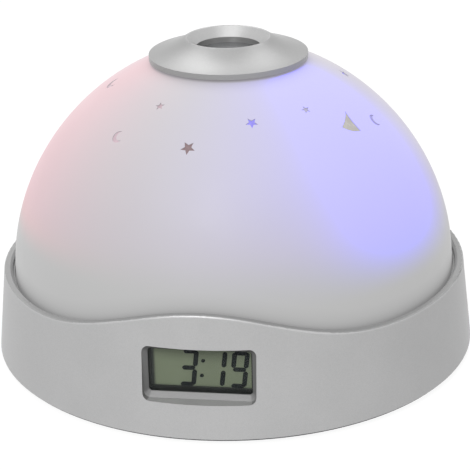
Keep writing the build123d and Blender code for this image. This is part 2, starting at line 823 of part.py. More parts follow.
tube_bore = tube_radius - tube_wall
slide_seat = tube_top - slide_ledge_drop
with BuildPart() as projector_tube:
    with BuildSketch(Plane.XZ):
        Polygon(
            (tube_bore, tube_bottom),
            (tube_flange_radius, tube_bottom),
            (tube_flange_radius, tube_bottom + tube_flange_thickness),
            (tube_radius, tube_bottom + tube_flange_thickness),
            (tube_radius, tube_top),
            (tube_bore, tube_top),
            (tube_bore, slide_seat),
            (tube_bore - slide_ledge, slide_seat),
            (tube_bore - slide_ledge, slide_seat - slide_ledge),
            (tube_bore, slide_seat - slide_ledge),
            align=None,
        )
    revolve(axis=Axis.Z)
    # Finger that presses the light switch
    with BuildSketch(Plane.XY.offset(tube_bottom)):
        with Locations((0, -tube_radius)):
            Rectangle(
                switch_size,
                switch_distance + switch_size / 2 - tube_radius,
                align=(Align.CENTER, Align.MAX),
            )
    extrude(amount=tube_flange_thickness)
projector_tube.part.label = "projector_tube"
export_step(projector_tube.part, "parts/projector_tube.step")

with BuildPart() as cap_retainer:
    with BuildSketch(Plane.XY.offset(retainer_top)):
        Circle(hub_radius + retainer_width)
        Circle(hub_radius + thread_gap, mode=Mode.SUBTRACT)
    extrude(amount=-retainer_height)
cap_retainer.part.label = "cap_retainer"
export_step(cap_retainer.part, "parts/cap_retainer.step")

with BuildPart() as pattern_slide:
    with BuildSketch(Plane.XY.offset(slide_seat)):
        Circle(tube_bore - seat_gap)
    extrude(amount=slide_thickness)
pattern_slide.part.label = "pattern_slide"
export_step(pattern_slide.part, "parts/pattern_slide.step")

with BuildPart() as return_spring:
    with BuildLine():
        coil = Helix(
            pitch=(return_spring_height - 2 * return_spring_wire) / return_spring_turns,
            height=return_spring_height - 2 * return_spring_wire,
            radius=coil_radius,
            center=(0, 0, led_board_top + return_spring_wire),
        )
    with BuildSketch(Plane(origin=coil @ 0, z_dir=coil % 0)):
        RegularPolygon(return_spring_wire - thread_gap, wire_sides)
    sweep(is_frenet=True)
return_spring.part.label = "return_spring"
export_step(return_spring.part, "parts/return_spring.step")

# ---------------------------------------------------------------- light board
with BuildPart() as led_board:
    with BuildSketch(Plane.XY.offset(board_z)):
        Circle(led_board_radius)
        with PolarLocations(led_boss_distance, 4, start_angle=45):
            Circle(board_screw_radius + seat_gap, mode=Mode.SUBTRACT)
    extrude(amount=led_board_thickness)
led_board.part.label = "led_board"
export_step(led_board.part, "parts/led_board.step")

with BuildPart() as led_board_screws:
    with BuildSketch(Plane.XY.offset(led_board_top)):
        with PolarLocations(led_boss_distance, 4, start_angle=45):
            Circle(board_screw_head)
    extrude(amount=board_screw_head_height)
    with BuildSketch(Plane.XY.offset(led_board_top)):
        with PolarLocations(led_boss_distance, 4, start_angle=45):
            Circle(board_screw_radius)
    extrude(amount=-led_screw_length)
led_board_screws.part.label = "led_board_screws"
export_step(led_board_screws.part, "parts/led_board_screws.step")

with BuildPart() as guide_sleeve:
    sleeve_radius = tube_bore - slide_gap
    with BuildSketch(Plane.XY.offset(led_board_top)):
        Circle(tube_radius)
        Circle(sleeve_radius - sleeve_wall, mode=Mode.SUBTRACT)
    extrude(amount=sleeve_foot_height)
    with BuildSketch(Plane.XY.offset(led_board_top)):
        Circle(sleeve_radius)
        Circle(sleeve_radius - sleeve_wall, mode=Mode.SUBTRACT)
    extrude(amount=sleeve_height)
guide_sleeve.part.label = "guide_sleeve"
export_step(guide_sleeve.part, "parts/guide_sleeve.step")

# Round-headed light emitters: one under the projector and three round it
led_places = {
    "led_projector": (0, 0),
    "led_blue": (led_distance, 0),
    "led_green": (0, led_distance),
    "led_red": (-led_distance, 0),
}
for led_name, (led_x, led_y) in led_places.items():
    with BuildPart() as led:
        with BuildSketch(Plane((led_x, led_y, led_board_top), x_dir=(1, 0, 0), z_dir=(0, -1, 0))):
            with BuildLine():
                shaft_top = led_height - led_radius
                body = Polyline(
                    (0, 0),
                    (led_radius + led_collar, 0),
                    (led_radius + led_collar, led_collar_height),
                    (led_radius, led_collar_height),
                    (led_radius, shaft_top),
                )
                RadiusArc(body @ 1, (0, led_height), -led_radius)
                Line((0, led_height), (0, 0))
            make_face()
        revolve(axis=Axis((led_x, led_y, 0), (0, 0, 1)))
    led.part.label = led_name
    export_step(led.part, f"parts/{led_name}.step")

switch_top = led_board_top + switch_height
plunger_bottom = switch_top - switch_plunger_sink
with BuildPart() as light_switch:
    with BuildSketch(Plane.XY.offset(led_board_top)):
        with Locations((0, -switch_distance)):
            Rectangle(switch_size, switch_size)
    extrude(amount=switch_height)
    with BuildSketch(Plane.XY.offset(plunger_bottom - press_travel - seat_gap)):
        with Locations((0, -switch_distance)):
            Circle(switch_plunger_radius + slide_gap)
    extrude(amount=switch_height, mode=Mode.SUBTRACT)
light_switch.part.label = "light_switch"
export_step(light_switch.part, "parts/light_switch.step")

with BuildPart() as light_switch_plunger:
    with BuildSketch(Plane.XY.offset(plunger_bottom)):
        with Locations((0, -switch_distance)):
            Circle(switch_plunger_radius)
    extrude(amount=tube_bottom - plunger_bottom)
light_switch_plunger.part.label = "light_switch_plunger"
export_step(light_switch_plunger.part, "parts/light_switch_plunger.step")

# ---------------------------------------------------------------- display stack
view_width = window_width - 2 * view_side_margin
view_height = window_height - 2 * view_margin
with BuildPart() as display_window:
    with BuildSketch(Plane.XZ.offset(display_distance - pane_thickness)):
        with Locations((0, window_z)):
            RectangleRounded(pane_width, pane_height, window_corner)
    extrude(amount=pane_thickness)
display_window.part.label = "display_window"
export_step(display_window.part, "parts/display_window.step")

with BuildPart() as lcd_holder:
    with BuildSketch(Plane.XZ.offset(board_distance)):
        with Locations((0, window_z)):
            Rectangle(holder_width, holder_height)
            Rectangle(
                lcd_width + 2 * seat_gap, lcd_height + 2 * seat_gap, mode=Mode.SUBTRACT
            )
    extrude(amount=lcd_front - board_distance)
    with BuildSketch(Plane.XZ.offset(lcd_front)):
        with Locations((0, window_z)):
            Rectangle(holder_width, holder_height)
            Rectangle(view_width, view_height, mode=Mode.SUBTRACT)
    extrude(amount=holder_lip)
    with BuildSketch(Plane.XZ.offset(lcd_front + holder_lip)):
        with Locations((0, window_z)):
            Rectangle(holder_width, holder_height)
            RectangleRounded(
                pane_width + 2 * seat_gap,
                pane_height + 2 * seat_gap,
                window_corner,
                mode=Mode.SUBTRACT,
            )
    extrude(amount=pane_thickness)
lcd_holder.part.label = "lcd_holder"
export_step(lcd_holder.part, "parts/lcd_holder.step")

with BuildPart() as lcd_panel:
    with BuildSketch(Plane.XZ.offset(lcd_front - lcd_glass)):
        with Locations((0, window_z)):
            Rectangle(lcd_width, lcd_height)
    extrude(amount=lcd_glass)
    with BuildSketch(Plane.XZ.offset(lcd_front - 2 * lcd_glass)):
        with Locations((0, window_z)):
            Rectangle(lcd_width, lcd_height - 2 * lcd_ledge)
    extrude(amount=lcd_glass)
lcd_panel.part.label = "lcd_panel"
export_step(lcd_panel.part, "parts/lcd_panel.step")

with BuildPart() as zebra_strips:
    with BuildSketch(Plane.XZ.offset(board_distance)):
        with Locations((0, window_z)):
            with GridLocations(0, lcd_height - lcd_ledge, 1, 2):
                Rectangle(zebra_length, zebra_height)
    extrude(amount=lcd_front - lcd_glass - board_distance)
zebra_strips.part.label = "zebra_strips"
export_step(zebra_strips.part, "parts/zebra_strips.step")

board_back = board_distance - board_thickness
main_screw_z = cover_bottom + main_boss_height
with BuildPart() as main_board:
    with BuildSketch(Plane.XZ.offset(board_back)):
        with Locations((0, board_bottom)):
            Rectangle(
                main_board_width, board_top - board_bottom, align=(Align.CENTER, Align.MIN)
            )
            Rectangle(
                holder_width,
                window_z + holder_height / 2 - board_bottom,
                align=(Align.CENTER, Align.MIN),
            )
        with Locations((0, main_screw_z)):
            with GridLocations(main_boss_spacing, 0, 2, 1):
                Circle(board_screw_radius + seat_gap, mode=Mode.SUBTRACT)
    extrude(amount=board_thickness)
main_board.part.label = "main_board"
export_step(main_board.part, "parts/main_board.step")

with BuildPart() as main_board_screws:
    with BuildSketch(Plane.XZ.offset(board_back)):
        with Locations((0, main_screw_z)):
            with GridLocations(main_boss_spacing, 0, 2, 1):
                Circle(board_screw_head)
    extrude(amount=-board_screw_head_height)
    with BuildSketch(Plane.XZ.offset(board_back)):
        with Locations((0, main_screw_z)):
            with GridLocations(main_boss_spacing, 0, 2, 1):
                Circle(board_screw_radius)
    extrude(amount=board_screw_length)
main_board_screws.part.label = "main_board_screws"
export_step(main_board_screws.part, "parts/main_board_screws.step")

chip_x = -main_boss_spacing / 4
with BuildPart() as clock_chip:
    with BuildSketch(Plane.XZ.offset(board_back)):
        with Locations((chip_x, main_screw_z)):
            Circle(chip_radius)
    extrude(amount=-chip_height)
    fillet(clock_chip.edges().group_by(Axis.Y)[-1], radius=chip_height / 2)
clock_chip.part.label = "clock_chip"
export_step(clock_chip.part, "parts/clock_chip.step")

with BuildPart() as crystal:
    with BuildSketch(Plane.YZ.offset(-chip_x - crystal_length / 2)):
        with Locations((-board_back + crystal_radius, main_screw_z)):
            Circle(crystal_radius)
    extrude(amount=crystal_length)
crystal.part.label = "crystal"
export_step(crystal.part, "parts/crystal.step")

# ---------------------------------------------------------------- buttons at the back
button_back = ring_wall + seat_gap + button_flange_thickness
key_face = button_board_distance + board_thickness + key_height
stem_end = key_face - key_bore_depth + button_travel + seat_gap


def rear_plug(across, radius, inner, outer):
    """Round plug along Y between two shells, inner and outer mm from the ring's outer wall."""
    low, high = button_z - 2 * radius, button_z + 2 * radius
    with BuildPart() as plug:
        with BuildSketch(Plane.XZ.offset(-button_board_distance)):
            with Locations((across, button_z)):
                Circle(radius)
        extrude(amount=-ring_radius / 2)
        with BuildSketch(Plane.XZ):
            Polygon(
                (outer_radius(low) + inner, low),
                (outer_radius(low) + outer, low),
                (outer_radius(high) + outer, high),
                (outer_radius(high) + inner, high),
                align=None,
            )
        revolve(axis=Axis.Z, mode=Mode.INTERSECT)
    return plug.part


for index, button_name in enumerate(button_names):
    button_x = (index - (len(button_names) - 1) / 2) * button_pitch
    cap = rear_plug(button_x, button_radius, -button_back, button_proud)
    flange = rear_plug(
        button_x, button_radius + button_flange, -button_back, -ring_wall - seat_gap
    )
    shell = outer_radius(button_z) - button_back + button_flange_thickness / 2
    stem_start = (shell**2 - button_x**2) ** 0.5
    with BuildPart() as button:
        add(cap)
        add(flange)
        with BuildSketch(Plane.XZ.offset(-stem_start)):
            with Locations((button_x, button_z)):
                Circle(stem_radius)
        extrude(amount=stem_start - stem_end)
    button.part.label = button_name
    export_step(button.part, f"parts/{button_name}.step")

with BuildPart() as button_board:
    with BuildSketch(Plane.XZ.offset(-button_board_distance)):
        with Locations((0, board_bottom)):
            Rectangle(
                button_board_width, board_top - board_bottom, align=(Align.CENTER, Align.MIN)
            )
        with Locations((0, button_screw_z)):
            with GridLocations(button_post_spacing, 0, 2, 1):
                Circle(board_screw_radius + seat_gap, mode=Mode.SUBTRACT)
    extrude(amount=-board_thickness)
button_board.part.label = "button_board"
export_step(button_board.part, "parts/button_board.step")

with BuildPart() as button_keys:
    with BuildSketch(Plane.XZ.offset(-button_board_distance - board_thickness)):
        with Locations((0, button_z)):
            with GridLocations(button_pitch, 0, len(button_names), 1):
                Rectangle(switch_size, switch_size)
    extrude(amount=-key_height)
    with BuildSketch(Plane.XZ.offset(-key_face)):
        with Locations((0, button_z)):
            with GridLocations(button_pitch, 0, len(button_names), 1):
                Circle(stem_radius + slide_gap)
    extrude(amount=key_bore_depth, mode=Mode.SUBTRACT)
button_keys.part.label = "button_keys"
export_step(button_keys.part, "parts/button_keys.step")

with BuildPart() as button_board_screws:
    with BuildSketch(Plane.XZ.offset(-button_board_distance - board_thickness)):
        with Locations((0, button_screw_z)):
            with GridLocations(button_post_spacing, 0, 2, 1):
                Circle(board_screw_head)
    extrude(amount=-board_screw_head_height)
    with BuildSketch(Plane.XZ.offset(-button_board_distance - board_thickness)):
        with Locations((0, button_screw_z)):
            with GridLocations(button_post_spacing, 0, 2, 1):
                Circle(board_screw_radius)
    extrude(amount=board_screw_length)
button_board_screws.part.label = "button_board_screws"
export_step(button_board_screws.part, "parts/button_board_screws.step")

# ---------------------------------------------------------------- slide switch and sounder
slider_y = -slider_travel / 2
stem_height = slide_switch_height / 2
with BuildPart() as mode_slider:
    with BuildSketch(Plane.XY.offset(cover_bottom + seat_gap)):
        with Locations((slider_distance, slider_y)):
            Rectangle(slider_width, slider_length)
    extrude(amount=slider_recess - 2 * seat_gap)
    with BuildSketch(Plane.XY.offset(cover_bottom + slider_recess - seat_gap)):
        with Locations((slider_distance, slider_y)):
            Rectangle(slider_stem, slider_stem)
    extrude(amount=cover_top + stem_height - cover_bottom - slider_recess + seat_gap)
mode_slider.part.label = "mode_slider"
export_step(mode_slider.part, "parts/mode_slider.step")

with BuildPart() as slide_switch:
    with BuildSketch(Plane.XY.offset(cover_top)):
        with Locations((slider_distance, 0)):
            Rectangle(slider_width, slider_length + slider_room)
    extrude(amount=slide_switch_height)
    with BuildSketch(Plane.XY.offset(cover_top)):
        with Locations((slider_distance, 0)):
            Rectangle(slider_stem + 2 * touch_gap, slider_stem + slider_room)
    extrude(amount=stem_height + seat_gap, mode=Mode.SUBTRACT)
slide_switch.part.label = "slide_switch"
export_step(slide_switch.part, "parts/slide_switch.step")

with BuildPart() as buzzer:
    with BuildSketch(Plane.XY.offset(cover_top)):
        with Locations((-buzzer_distance, 0)):
            Circle(buzzer_radius)
    extrude(amount=buzzer_height)
buzzer.part.label = "buzzer"
export_step(buzzer.part, "parts/buzzer.step")
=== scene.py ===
"""A projection alarm clock: the finish of its pieces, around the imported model.

The model's pieces are the frame. Each class below is one sub-assembly: it holds the sizes that its own
meshes need, builds them, and dresses them and the pieces that keep the frame's shape. Lengths are metres.
"""
import json
import logging
import math
from dataclasses import dataclass
from enum import Enum
from functools import partialmethod
from typing import Callable, ClassVar, Iterable, Sequence

import bmesh
import bpy
from mathutils import Matrix, Vector

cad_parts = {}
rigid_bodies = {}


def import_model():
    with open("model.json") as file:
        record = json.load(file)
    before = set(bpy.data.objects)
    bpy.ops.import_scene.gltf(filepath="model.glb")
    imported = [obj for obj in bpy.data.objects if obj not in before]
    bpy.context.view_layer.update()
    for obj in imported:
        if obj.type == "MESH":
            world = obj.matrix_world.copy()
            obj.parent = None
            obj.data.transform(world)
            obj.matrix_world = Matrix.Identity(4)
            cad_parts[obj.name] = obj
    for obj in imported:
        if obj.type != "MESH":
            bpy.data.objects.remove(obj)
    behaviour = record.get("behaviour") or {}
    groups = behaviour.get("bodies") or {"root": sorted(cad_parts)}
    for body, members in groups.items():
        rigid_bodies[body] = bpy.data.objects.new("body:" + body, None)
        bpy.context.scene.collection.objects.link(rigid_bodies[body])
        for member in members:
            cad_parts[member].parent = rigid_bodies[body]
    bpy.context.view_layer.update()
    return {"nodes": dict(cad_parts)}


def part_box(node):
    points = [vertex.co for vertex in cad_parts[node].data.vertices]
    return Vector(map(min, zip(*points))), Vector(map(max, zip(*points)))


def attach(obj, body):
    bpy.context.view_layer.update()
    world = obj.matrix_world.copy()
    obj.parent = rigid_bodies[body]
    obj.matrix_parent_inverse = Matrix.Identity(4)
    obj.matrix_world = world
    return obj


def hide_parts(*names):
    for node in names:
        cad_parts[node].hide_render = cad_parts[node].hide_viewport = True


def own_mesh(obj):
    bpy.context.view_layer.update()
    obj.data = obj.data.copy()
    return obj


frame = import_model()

Color = tuple[float, float, float]
Range = tuple[float, float]
Point2 = tuple[float, float]
Point3 = tuple[float, float, float]
Socket = bpy.types.NodeSocket
FaceTest = Callable[[bpy.types.MeshPolygon], bool]

MM = 0.001
UP = Vector((0, 0, 1))
WELD = 0.0005 * MM
NEAR_AXIS = 0.1 * MM
WHITE_LIGHT = (1, 1, 1, 1)
# The Mix node's sockets for colours, by number, as its sockets for numbers have the same names
MIX_INPUTS = (0, 6, 7)
MIX_RESULT = 2
log = logging.getLogger("clock")


class Body(Enum):
    """What a piece moves with."""

    CLOCK = "clock"
    DOOR = "door"
    SLIDER = "slider"


class Slot(Enum):
    """Names of the record's material slots, passed along with new pieces."""

    FROSTED = "frosted_plastic"
    LCD = "lcd_glass"
    METAL = "bright_metal"
    SCREW = "screw_steel"
    JACKET = "cell_jacket"
    DARK = "dark_plastic"
    BLACK = "black_plastic"


# ---------------------------------------------------------------- node trees


class Graph:
    """A short way to add nodes to a tree and to join them."""

    def __init__(self, tree: bpy.types.NodeTree) -> None:
        """Takes the tree that the nodes go into."""
        self.tree = tree

    def put(self, kind: str, values: dict | None = None, **settings: object) -> bpy.types.Node:
        """Adds a node.

        Args:
            kind: Blender's name of the node type.
            values: for each input that is set, by name or number, a value or a socket to join.
            settings: properties of the node itself.

        Returns:
            The new node.
        """
        node = self.tree.nodes.new(kind)
        for name, value in settings.items():
            setattr(node, name, value)
        for key, value in (values or {}).items():
            if isinstance(value, Socket):
                self.tree.links.new(value, node.inputs[key])
            else:
                node.inputs[key].default_value = value
        return node

    def out(self, kind: str, values: dict | None = None, **settings: object) -> Socket:
        """Adds a node and returns its first output."""
        return self.put(kind, values, **settings).outputs[0]

    def math(self, operation: str, *values: float | Socket, clamp: bool = False) -> Socket:
        """Works out one number from others, with Blender's name of the operation."""
        return self.out("ShaderNodeMath", dict(enumerate(values)), operation=operation, use_clamp=clamp)

    plus = partialmethod(math, "ADD")
    minus = partialmethod(math, "SUBTRACT")
    times = partialmethod(math, "MULTIPLY")
    over = partialmethod(math, "DIVIDE")
    power = partialmethod(math, "POWER")
    larger = partialmethod(math, "MAXIMUM")
    below = partialmethod(math, "LESS_THAN")

    def vector(self, x: float | Socket, y: float | Socket, z: float | Socket) -> Socket:
        """Makes a vector of three numbers."""
        return self.out("ShaderNodeCombineXYZ", {0: x, 1: y, 2: z})

    def place(self) -> Socket:
        """The shaded point, in metres, in the object's own space."""
        return self.put("ShaderNodeTexCoord").outputs["Object"]

    def axes(self) -> tuple[Socket, Socket, Socket]:
        """The shaded point's x, y and z."""
        return tuple(self.put("ShaderNodeSeparateXYZ", {0: self.place()}).outputs)

    def noise(self, size: float, detail: float = 2.0, stretch: Point3 = (1, 1, 1)) -> Socket:
        """A cloudy pattern, 0 to 1.

        Args:
            size: how large its clouds are.
            detail: how many finer layers it has.
            stretch: how much longer the clouds are along each axis.

        Returns:
            The pattern's value.
        """
        scale = tuple(1 / (size * length) for length in stretch)
        place = self.out("ShaderNodeMapping", {"Vector": self.place(), "Scale": scale})
        values = {"Vector": place, "Scale": 1.0, "Detail": detail}
        return self.put("ShaderNodeTexNoise", values).outputs["Fac"]

    def fit(self, value: Socket, low: float, high: float, to_low: float = 0.0, to_high: float = 1.0,
            smooth: bool = True) -> Socket:
        """Maps a value from one range to another and stops it at the ends.

        Args:
            value: the value.
            low: start of the range that it comes from.
            high: end of that range.
            to_low: what low becomes.
            to_high: what high becomes.
            smooth: whether the ends are eased.

        Returns:
            The new value.
        """
        kind = "SMOOTHSTEP" if smooth else "LINEAR"
        limits = {"Value": value, "From Min": low, "From Max": high, "To Min": to_low, "To Max": to_high}
        return self.put("ShaderNodeMapRange", limits, interpolation_type=kind).outputs["Result"]

    def mix(self, share: Socket, first: Color | Socket, second: Color | Socket) -> Socket:
        """A colour between two.

        Args:
            share: how much of the second colour it has, 0 to 1.
            first: the colour at 0.
            second: the colour at 1.

        Returns:
            The colour.
        """
        sides = [side if isinstance(side, Socket) else (*side, 1) for side in (first, second)]
        values = dict(zip(MIX_INPUTS, (share, *sides)))
        return self.put("ShaderNodeMix", values, data_type="RGBA").outputs[MIX_RESULT]

    def shade(self, color: Color | Socket, factor: float | Socket) -> Socket:
        """A colour times a number."""
        return self.out("ShaderNodeVectorMath", {0: color, "Scale": factor}, operation="SCALE")

    def add(self, first: Socket, second: Socket) -> Socket:
        """The sum of two colours."""
        return self.out("ShaderNodeVectorMath", {0: first, 1: second}, operation="ADD")

    def bump(self, height: Socket, depth: float, under: Socket | None = None) -> Socket:
        """A normal that follows a height pattern of 0 to 1.

        Args:
            height: the pattern.
            depth: how deep it is.
            under: another bump that this one lies on.

        Returns:
            The normal.
        """
        values = {"Height": height, "Distance": depth, "Strength": 1.0}
        if under is not None:
            values["Normal"] = under
        return self.out("ShaderNodeBump", values)


class Recipe:
    """A geometry-nodes tree with named sizes, which runs once and leaves a plain mesh."""

    def __init__(self, name: str) -> None:
        """Starts a tree with a mesh going in and a mesh coming out.

        Args:
            name: name of the tree and of the piece.
        """
        self.name = name
        self.tree = bpy.data.node_groups.new(name, "GeometryNodeTree")
        self.graph = Graph(self.tree)
        for way in ("INPUT", "OUTPUT"):
            self.tree.interface.new_socket("Geometry", in_out=way, socket_type="NodeSocketGeometry")
        self.entry = self.graph.put("NodeGroupInput")
        self.values: dict[str, object] = {}

    @property
    def start(self) -> Socket:
        """The mesh that goes in."""
        return self.entry.outputs["Geometry"]

    def size(self, name: str, value: object) -> Socket:
        """Adds a named input.

        Args:
            name: what the input is called.
            value: a number, a whole number, a vector or a collection.

        Returns:
            The socket that gives the value inside the tree.
        """
        kinds = {float: "Float", int: "Int", Vector: "Vector", bpy.types.Collection: "Collection"}
        kind = "NodeSocket" + kinds[type(value)]
        made = self.tree.interface.new_socket(name, in_out="INPUT", socket_type=kind)
        self.values[made.identifier] = value
        return self.entry.outputs[name]

    def sizes(self, owner: object, *names: str) -> list[Socket]:
        """Adds an input for each of an owner's sizes, under the size's own name."""
        return [self.size(name.replace("_", " ").capitalize(), getattr(owner, name)) for name in names]

    def attribute(self, name: str) -> Socket:
        """Reads a number that the points carry."""
        values = {"Name": name}
        return self.graph.out("GeometryNodeInputNamedAttribute", values, data_type="FLOAT")

    def turn(self, axis: Point3) -> Socket:
        """Rotation about an axis by the angle that each point carries as its turn."""
        values = {"Axis": axis, "Angle": self.attribute("turn")}
        return self.graph.out("FunctionNodeAxisAngleToRotation", values)

    def turned(self, laid: Socket) -> Socket:
        """A rotation that lays a form down, after each point's turn about the form's own z axis."""
        values = {"Rotation": laid, "Rotate By": self.turn((0, 0, 1))}
        return self.graph.out("FunctionNodeRotateRotation", values, rotation_space="LOCAL")

    def run(self, result: Socket, finish: "Finish", seed: bpy.types.Mesh | None = None) -> bpy.types.Object:
        """Closes the tree, runs it and keeps what comes out.

        Args:
            result: the geometry to keep.
            finish: the finish of all of it.
            seed: the mesh that goes in, or None for an empty one.

        Returns:
            An object with a plain mesh and no modifier.
        """
        solid = self.graph.out("GeometryNodeRealizeInstances", {"Geometry": result})
        values = {"Geometry": solid, "Material": finish.material()}
        painted = self.graph.out("GeometryNodeSetMaterial", values)
        self.graph.put("NodeGroupOutput", {"Geometry": painted})
        host = add_object(self.name, seed or bpy.data.meshes.new(self.name))
        modifier = host.modifiers.new(self.name, "NODES")
        modifier.node_group = self.tree
        for identifier, value in self.values.items():
            modifier[identifier] = value
        apply_modifiers(host)
        return host


# ---------------------------------------------------------------- meshes


def add_object(name: str, mesh: bpy.types.Mesh) -> bpy.types.Object:
    """Puts a mesh into the scene as an object at the origin.

    Args:
        name: the object's name.
        mesh: its mesh.

    Returns:
        The new object.
    """
    made = bpy.data.objects.new(name, mesh)
    bpy.context.scene.collection.objects.link(made)
    return made


def apply_modifiers(piece: bpy.types.Object) -> None:
    """Keeps what a piece's modifiers make as its plain mesh, and removes them.

    Args:
        piece: the object.
    """
    graph = bpy.context.evaluated_depsgraph_get()
    mesh = bpy.data.meshes.new_from_object(piece.evaluated_get(graph), depsgraph=graph)
    piece.modifiers.clear()
    piece.data = mesh
    mesh.name = piece.name


def smooth(piece: bpy.types.Object, crease: float = 32.0) -> bpy.types.Object:
    """Merges doubles, turns faces outwards and shades smooth.

    Args:
        piece: the object with a closed mesh.
        crease: degrees between two faces from which their edge stays sharp.

    Returns:
        The same object.
    """
    form = bmesh.new()
    form.from_mesh(piece.data)
    bmesh.ops.remove_doubles(form, verts=form.verts, dist=WELD)
    bmesh.ops.recalc_face_normals(form, faces=form.faces)
    form.to_mesh(piece.data)
    form.free()
    piece.data.shade_smooth()
    piece.data.set_sharp_from_angle(angle=math.radians(crease))
    return piece


def as_mesh(form: bmesh.types.BMesh, name: str) -> bpy.types.Mesh:
    """Turns a form's faces outwards and makes a mesh of it, which frees the form.

    Args:
        form: the form.
        name: the mesh's name.

    Returns:
        The mesh.
    """
    bmesh.ops.recalc_face_normals(form, faces=form.faces)
    mesh = bpy.data.meshes.new(name)
    form.to_mesh(mesh)
    form.free()
    return mesh


def carve(piece: bpy.types.Object, *cutters: bpy.types.Object) -> None:
    """Cuts other objects out of a piece, and deletes them.

    Args:
        piece: the object that stays, with the result as its plain mesh.
        cutters: closed objects.
    """
    for cutter in cutters:
        cut = piece.modifiers.new(cutter.name, "BOOLEAN")
        cut.operation, cut.solver, cut.object = "DIFFERENCE", "EXACT", cutter
    apply_modifiers(piece)
    for cutter in cutters:
        bpy.data.objects.remove(cutter)


def circle(radius: float, steps: int) -> list[Point2]:
    """Points that go once round the origin, anticlockwise from the x axis."""
    turns = [math.tau * step / steps for step in range(steps)]
    return [(radius * math.cos(turn), radius * math.sin(turn)) for turn in turns]


def quarter_turned(points: Sequence[Point2], times: int) -> list[Point2]:
    """Points after a number of anticlockwise quarter turns about the origin.

    Args:
        points: the points.
        times: how many quarter turns.

    Returns:
        The turned points, in the same order.
    """
    for _ in range(times):
        points = [(-y, x) for x, y in points]
    return list(points)


def rectangle(left: float, right: float, front: float, back: float) -> list[Point2]:
    """Corners of a rectangle."""
    return [(left, front), (right, front), (right, back), (left, back)]


def square_corners(half: float, level: float) -> tuple[Point3, ...]:
    """Corners of a level square about the z axis, with half its side."""
    return tuple((x * half, y * half, level) for x in (-1, 1) for y in (-1, 1))


def lathe(profile: Sequence[Point2], steps: int) -> bpy.types.Mesh:
    """Turns a profile about the z axis.

    Args:
        profile: radius and height of its points, a closed loop or one that starts and ends on the axis.
        steps: how many steps one turn has.

    Returns:
        The mesh.
    """
    form = bmesh.new()
    rings = []
    for radius, height in profile:
        if radius == 0:
            rings.append([form.verts.new((0, 0, height))] * steps)
        else:
            rings.append([form.verts.new((x, y, height)) for x, y in circle(radius, steps)])
    for first, second in zip(rings, rings[1:] + rings[:1]):
        for step in range(steps):
            after = (step + 1) % steps
            corners = dict.fromkeys((first[step], first[after], second[after], second[step]))
            if len(corners) > 2:
                form.faces.new(list(corners))
    return as_mesh(form, "lathe")


def prism(outline: Sequence[Point2], bottom: float, top: float) -> bpy.types.Mesh:
    """A closed plate with straight sides, between two heights.

    Args:
        outline: the plate's corners in order.
        bottom: height of its lower face.
        top: height of its upper face.

    Returns:
        The mesh.
    """
    form = bmesh.new()
    low, high = ([form.verts.new((x, y, z)) for x, y in outline] for z in (bottom, top))
    form.faces.new(low)
    form.faces.new(high)
    for index in range(len(outline)):
        after = (index + 1) % len(outline)
        form.faces.new((low[index], low[after], high[after], high[index]))
    return as_mesh(form, "plate")


def point_mesh(points: Sequence[Point3], **values: Iterable[float]) -> bpy.types.Mesh:
    """A mesh of loose points that carry values by name, with form 0 and width 1 unless they are given.

    Args:
        points: where they are.
        values: for each name, a number for each point.

    Returns:
        The mesh.
    """
    mesh = bpy.data.meshes.new("points")
    mesh.from_pydata(points, [], [])
    plain = {"form": [0.0] * len(points), "width": [1.0] * len(points)}
    for name, numbers in (plain | values).items():
        mesh.attributes.new(name, "FLOAT", "POINT").data.foreach_set("value", list(numbers))
    return mesh


class Patterns:
    """Small forms that a recipe places many times, kept out of the scene."""

    def __init__(self, *meshes: bpy.types.Mesh) -> None:
        """Takes the forms, which are picked by their number.

        Args:
            meshes: the forms.
        """
        self.collection = bpy.data.collections.new("patterns")
        self.objects = [bpy.data.objects.new(f"form_{n}", mesh) for n, mesh in enumerate(meshes)]
        for made in self.objects:
            self.collection.objects.link(made)

    def instances(self, recipe: Recipe) -> Socket:
        """Gives a recipe the forms as instances to pick from.

        Args:
            recipe: the recipe.

        Returns:
            The instances.
        """
        source = recipe.size("Forms", self.collection)
        values = {"Collection": source, "Separate Children": True, "Reset Children": True}
        return recipe.graph.out("GeometryNodeCollectionInfo", values)

    def remove(self) -> None:
        """Deletes the forms."""
        for made in self.objects:
            bpy.data.objects.remove(made)
        bpy.data.collections.remove(self.collection)


def scatter(name: str, forms: Sequence[bpy.types.Mesh], points: bpy.types.Mesh, finish: "Finish",
            rotate: Callable[[Recipe], Socket] | None = None,
            after: Callable[[Recipe, Socket], Socket] | None = None,
            lengthen: bool = False) -> bpy.types.Object:
    """Places forms on points that carry the form's number and its width.

    Args:
        name: the new piece's name.
        forms: the meshes to pick from.
        points: a mesh of points with the values form and width.
        finish: the finish of the piece.
        rotate: makes the points' rotation in the recipe.
        after: changes the placed forms in the recipe.
        lengthen: whether the width is along x only, and not along y too.

    Returns:
        The new piece.
    """
    recipe = Recipe(name)
    graph = recipe.graph
    patterns = Patterns(*forms)
    width = recipe.attribute("width")
    values = {
        "Points": recipe.start,
        "Instance": patterns.instances(recipe),
        "Pick Instance": True,
        "Instance Index": graph.math("ROUND", recipe.attribute("form")),
        "Scale": graph.vector(width, 1.0 if lengthen else width, 1.0),
    }
    if rotate is not None:
        values["Rotation"] = rotate(recipe)
    placed = graph.out("GeometryNodeInstanceOnPoints", values)
    if after is not None:
        placed = after(recipe, placed)
    piece = recipe.run(placed, finish, points)
    patterns.remove()
    return piece


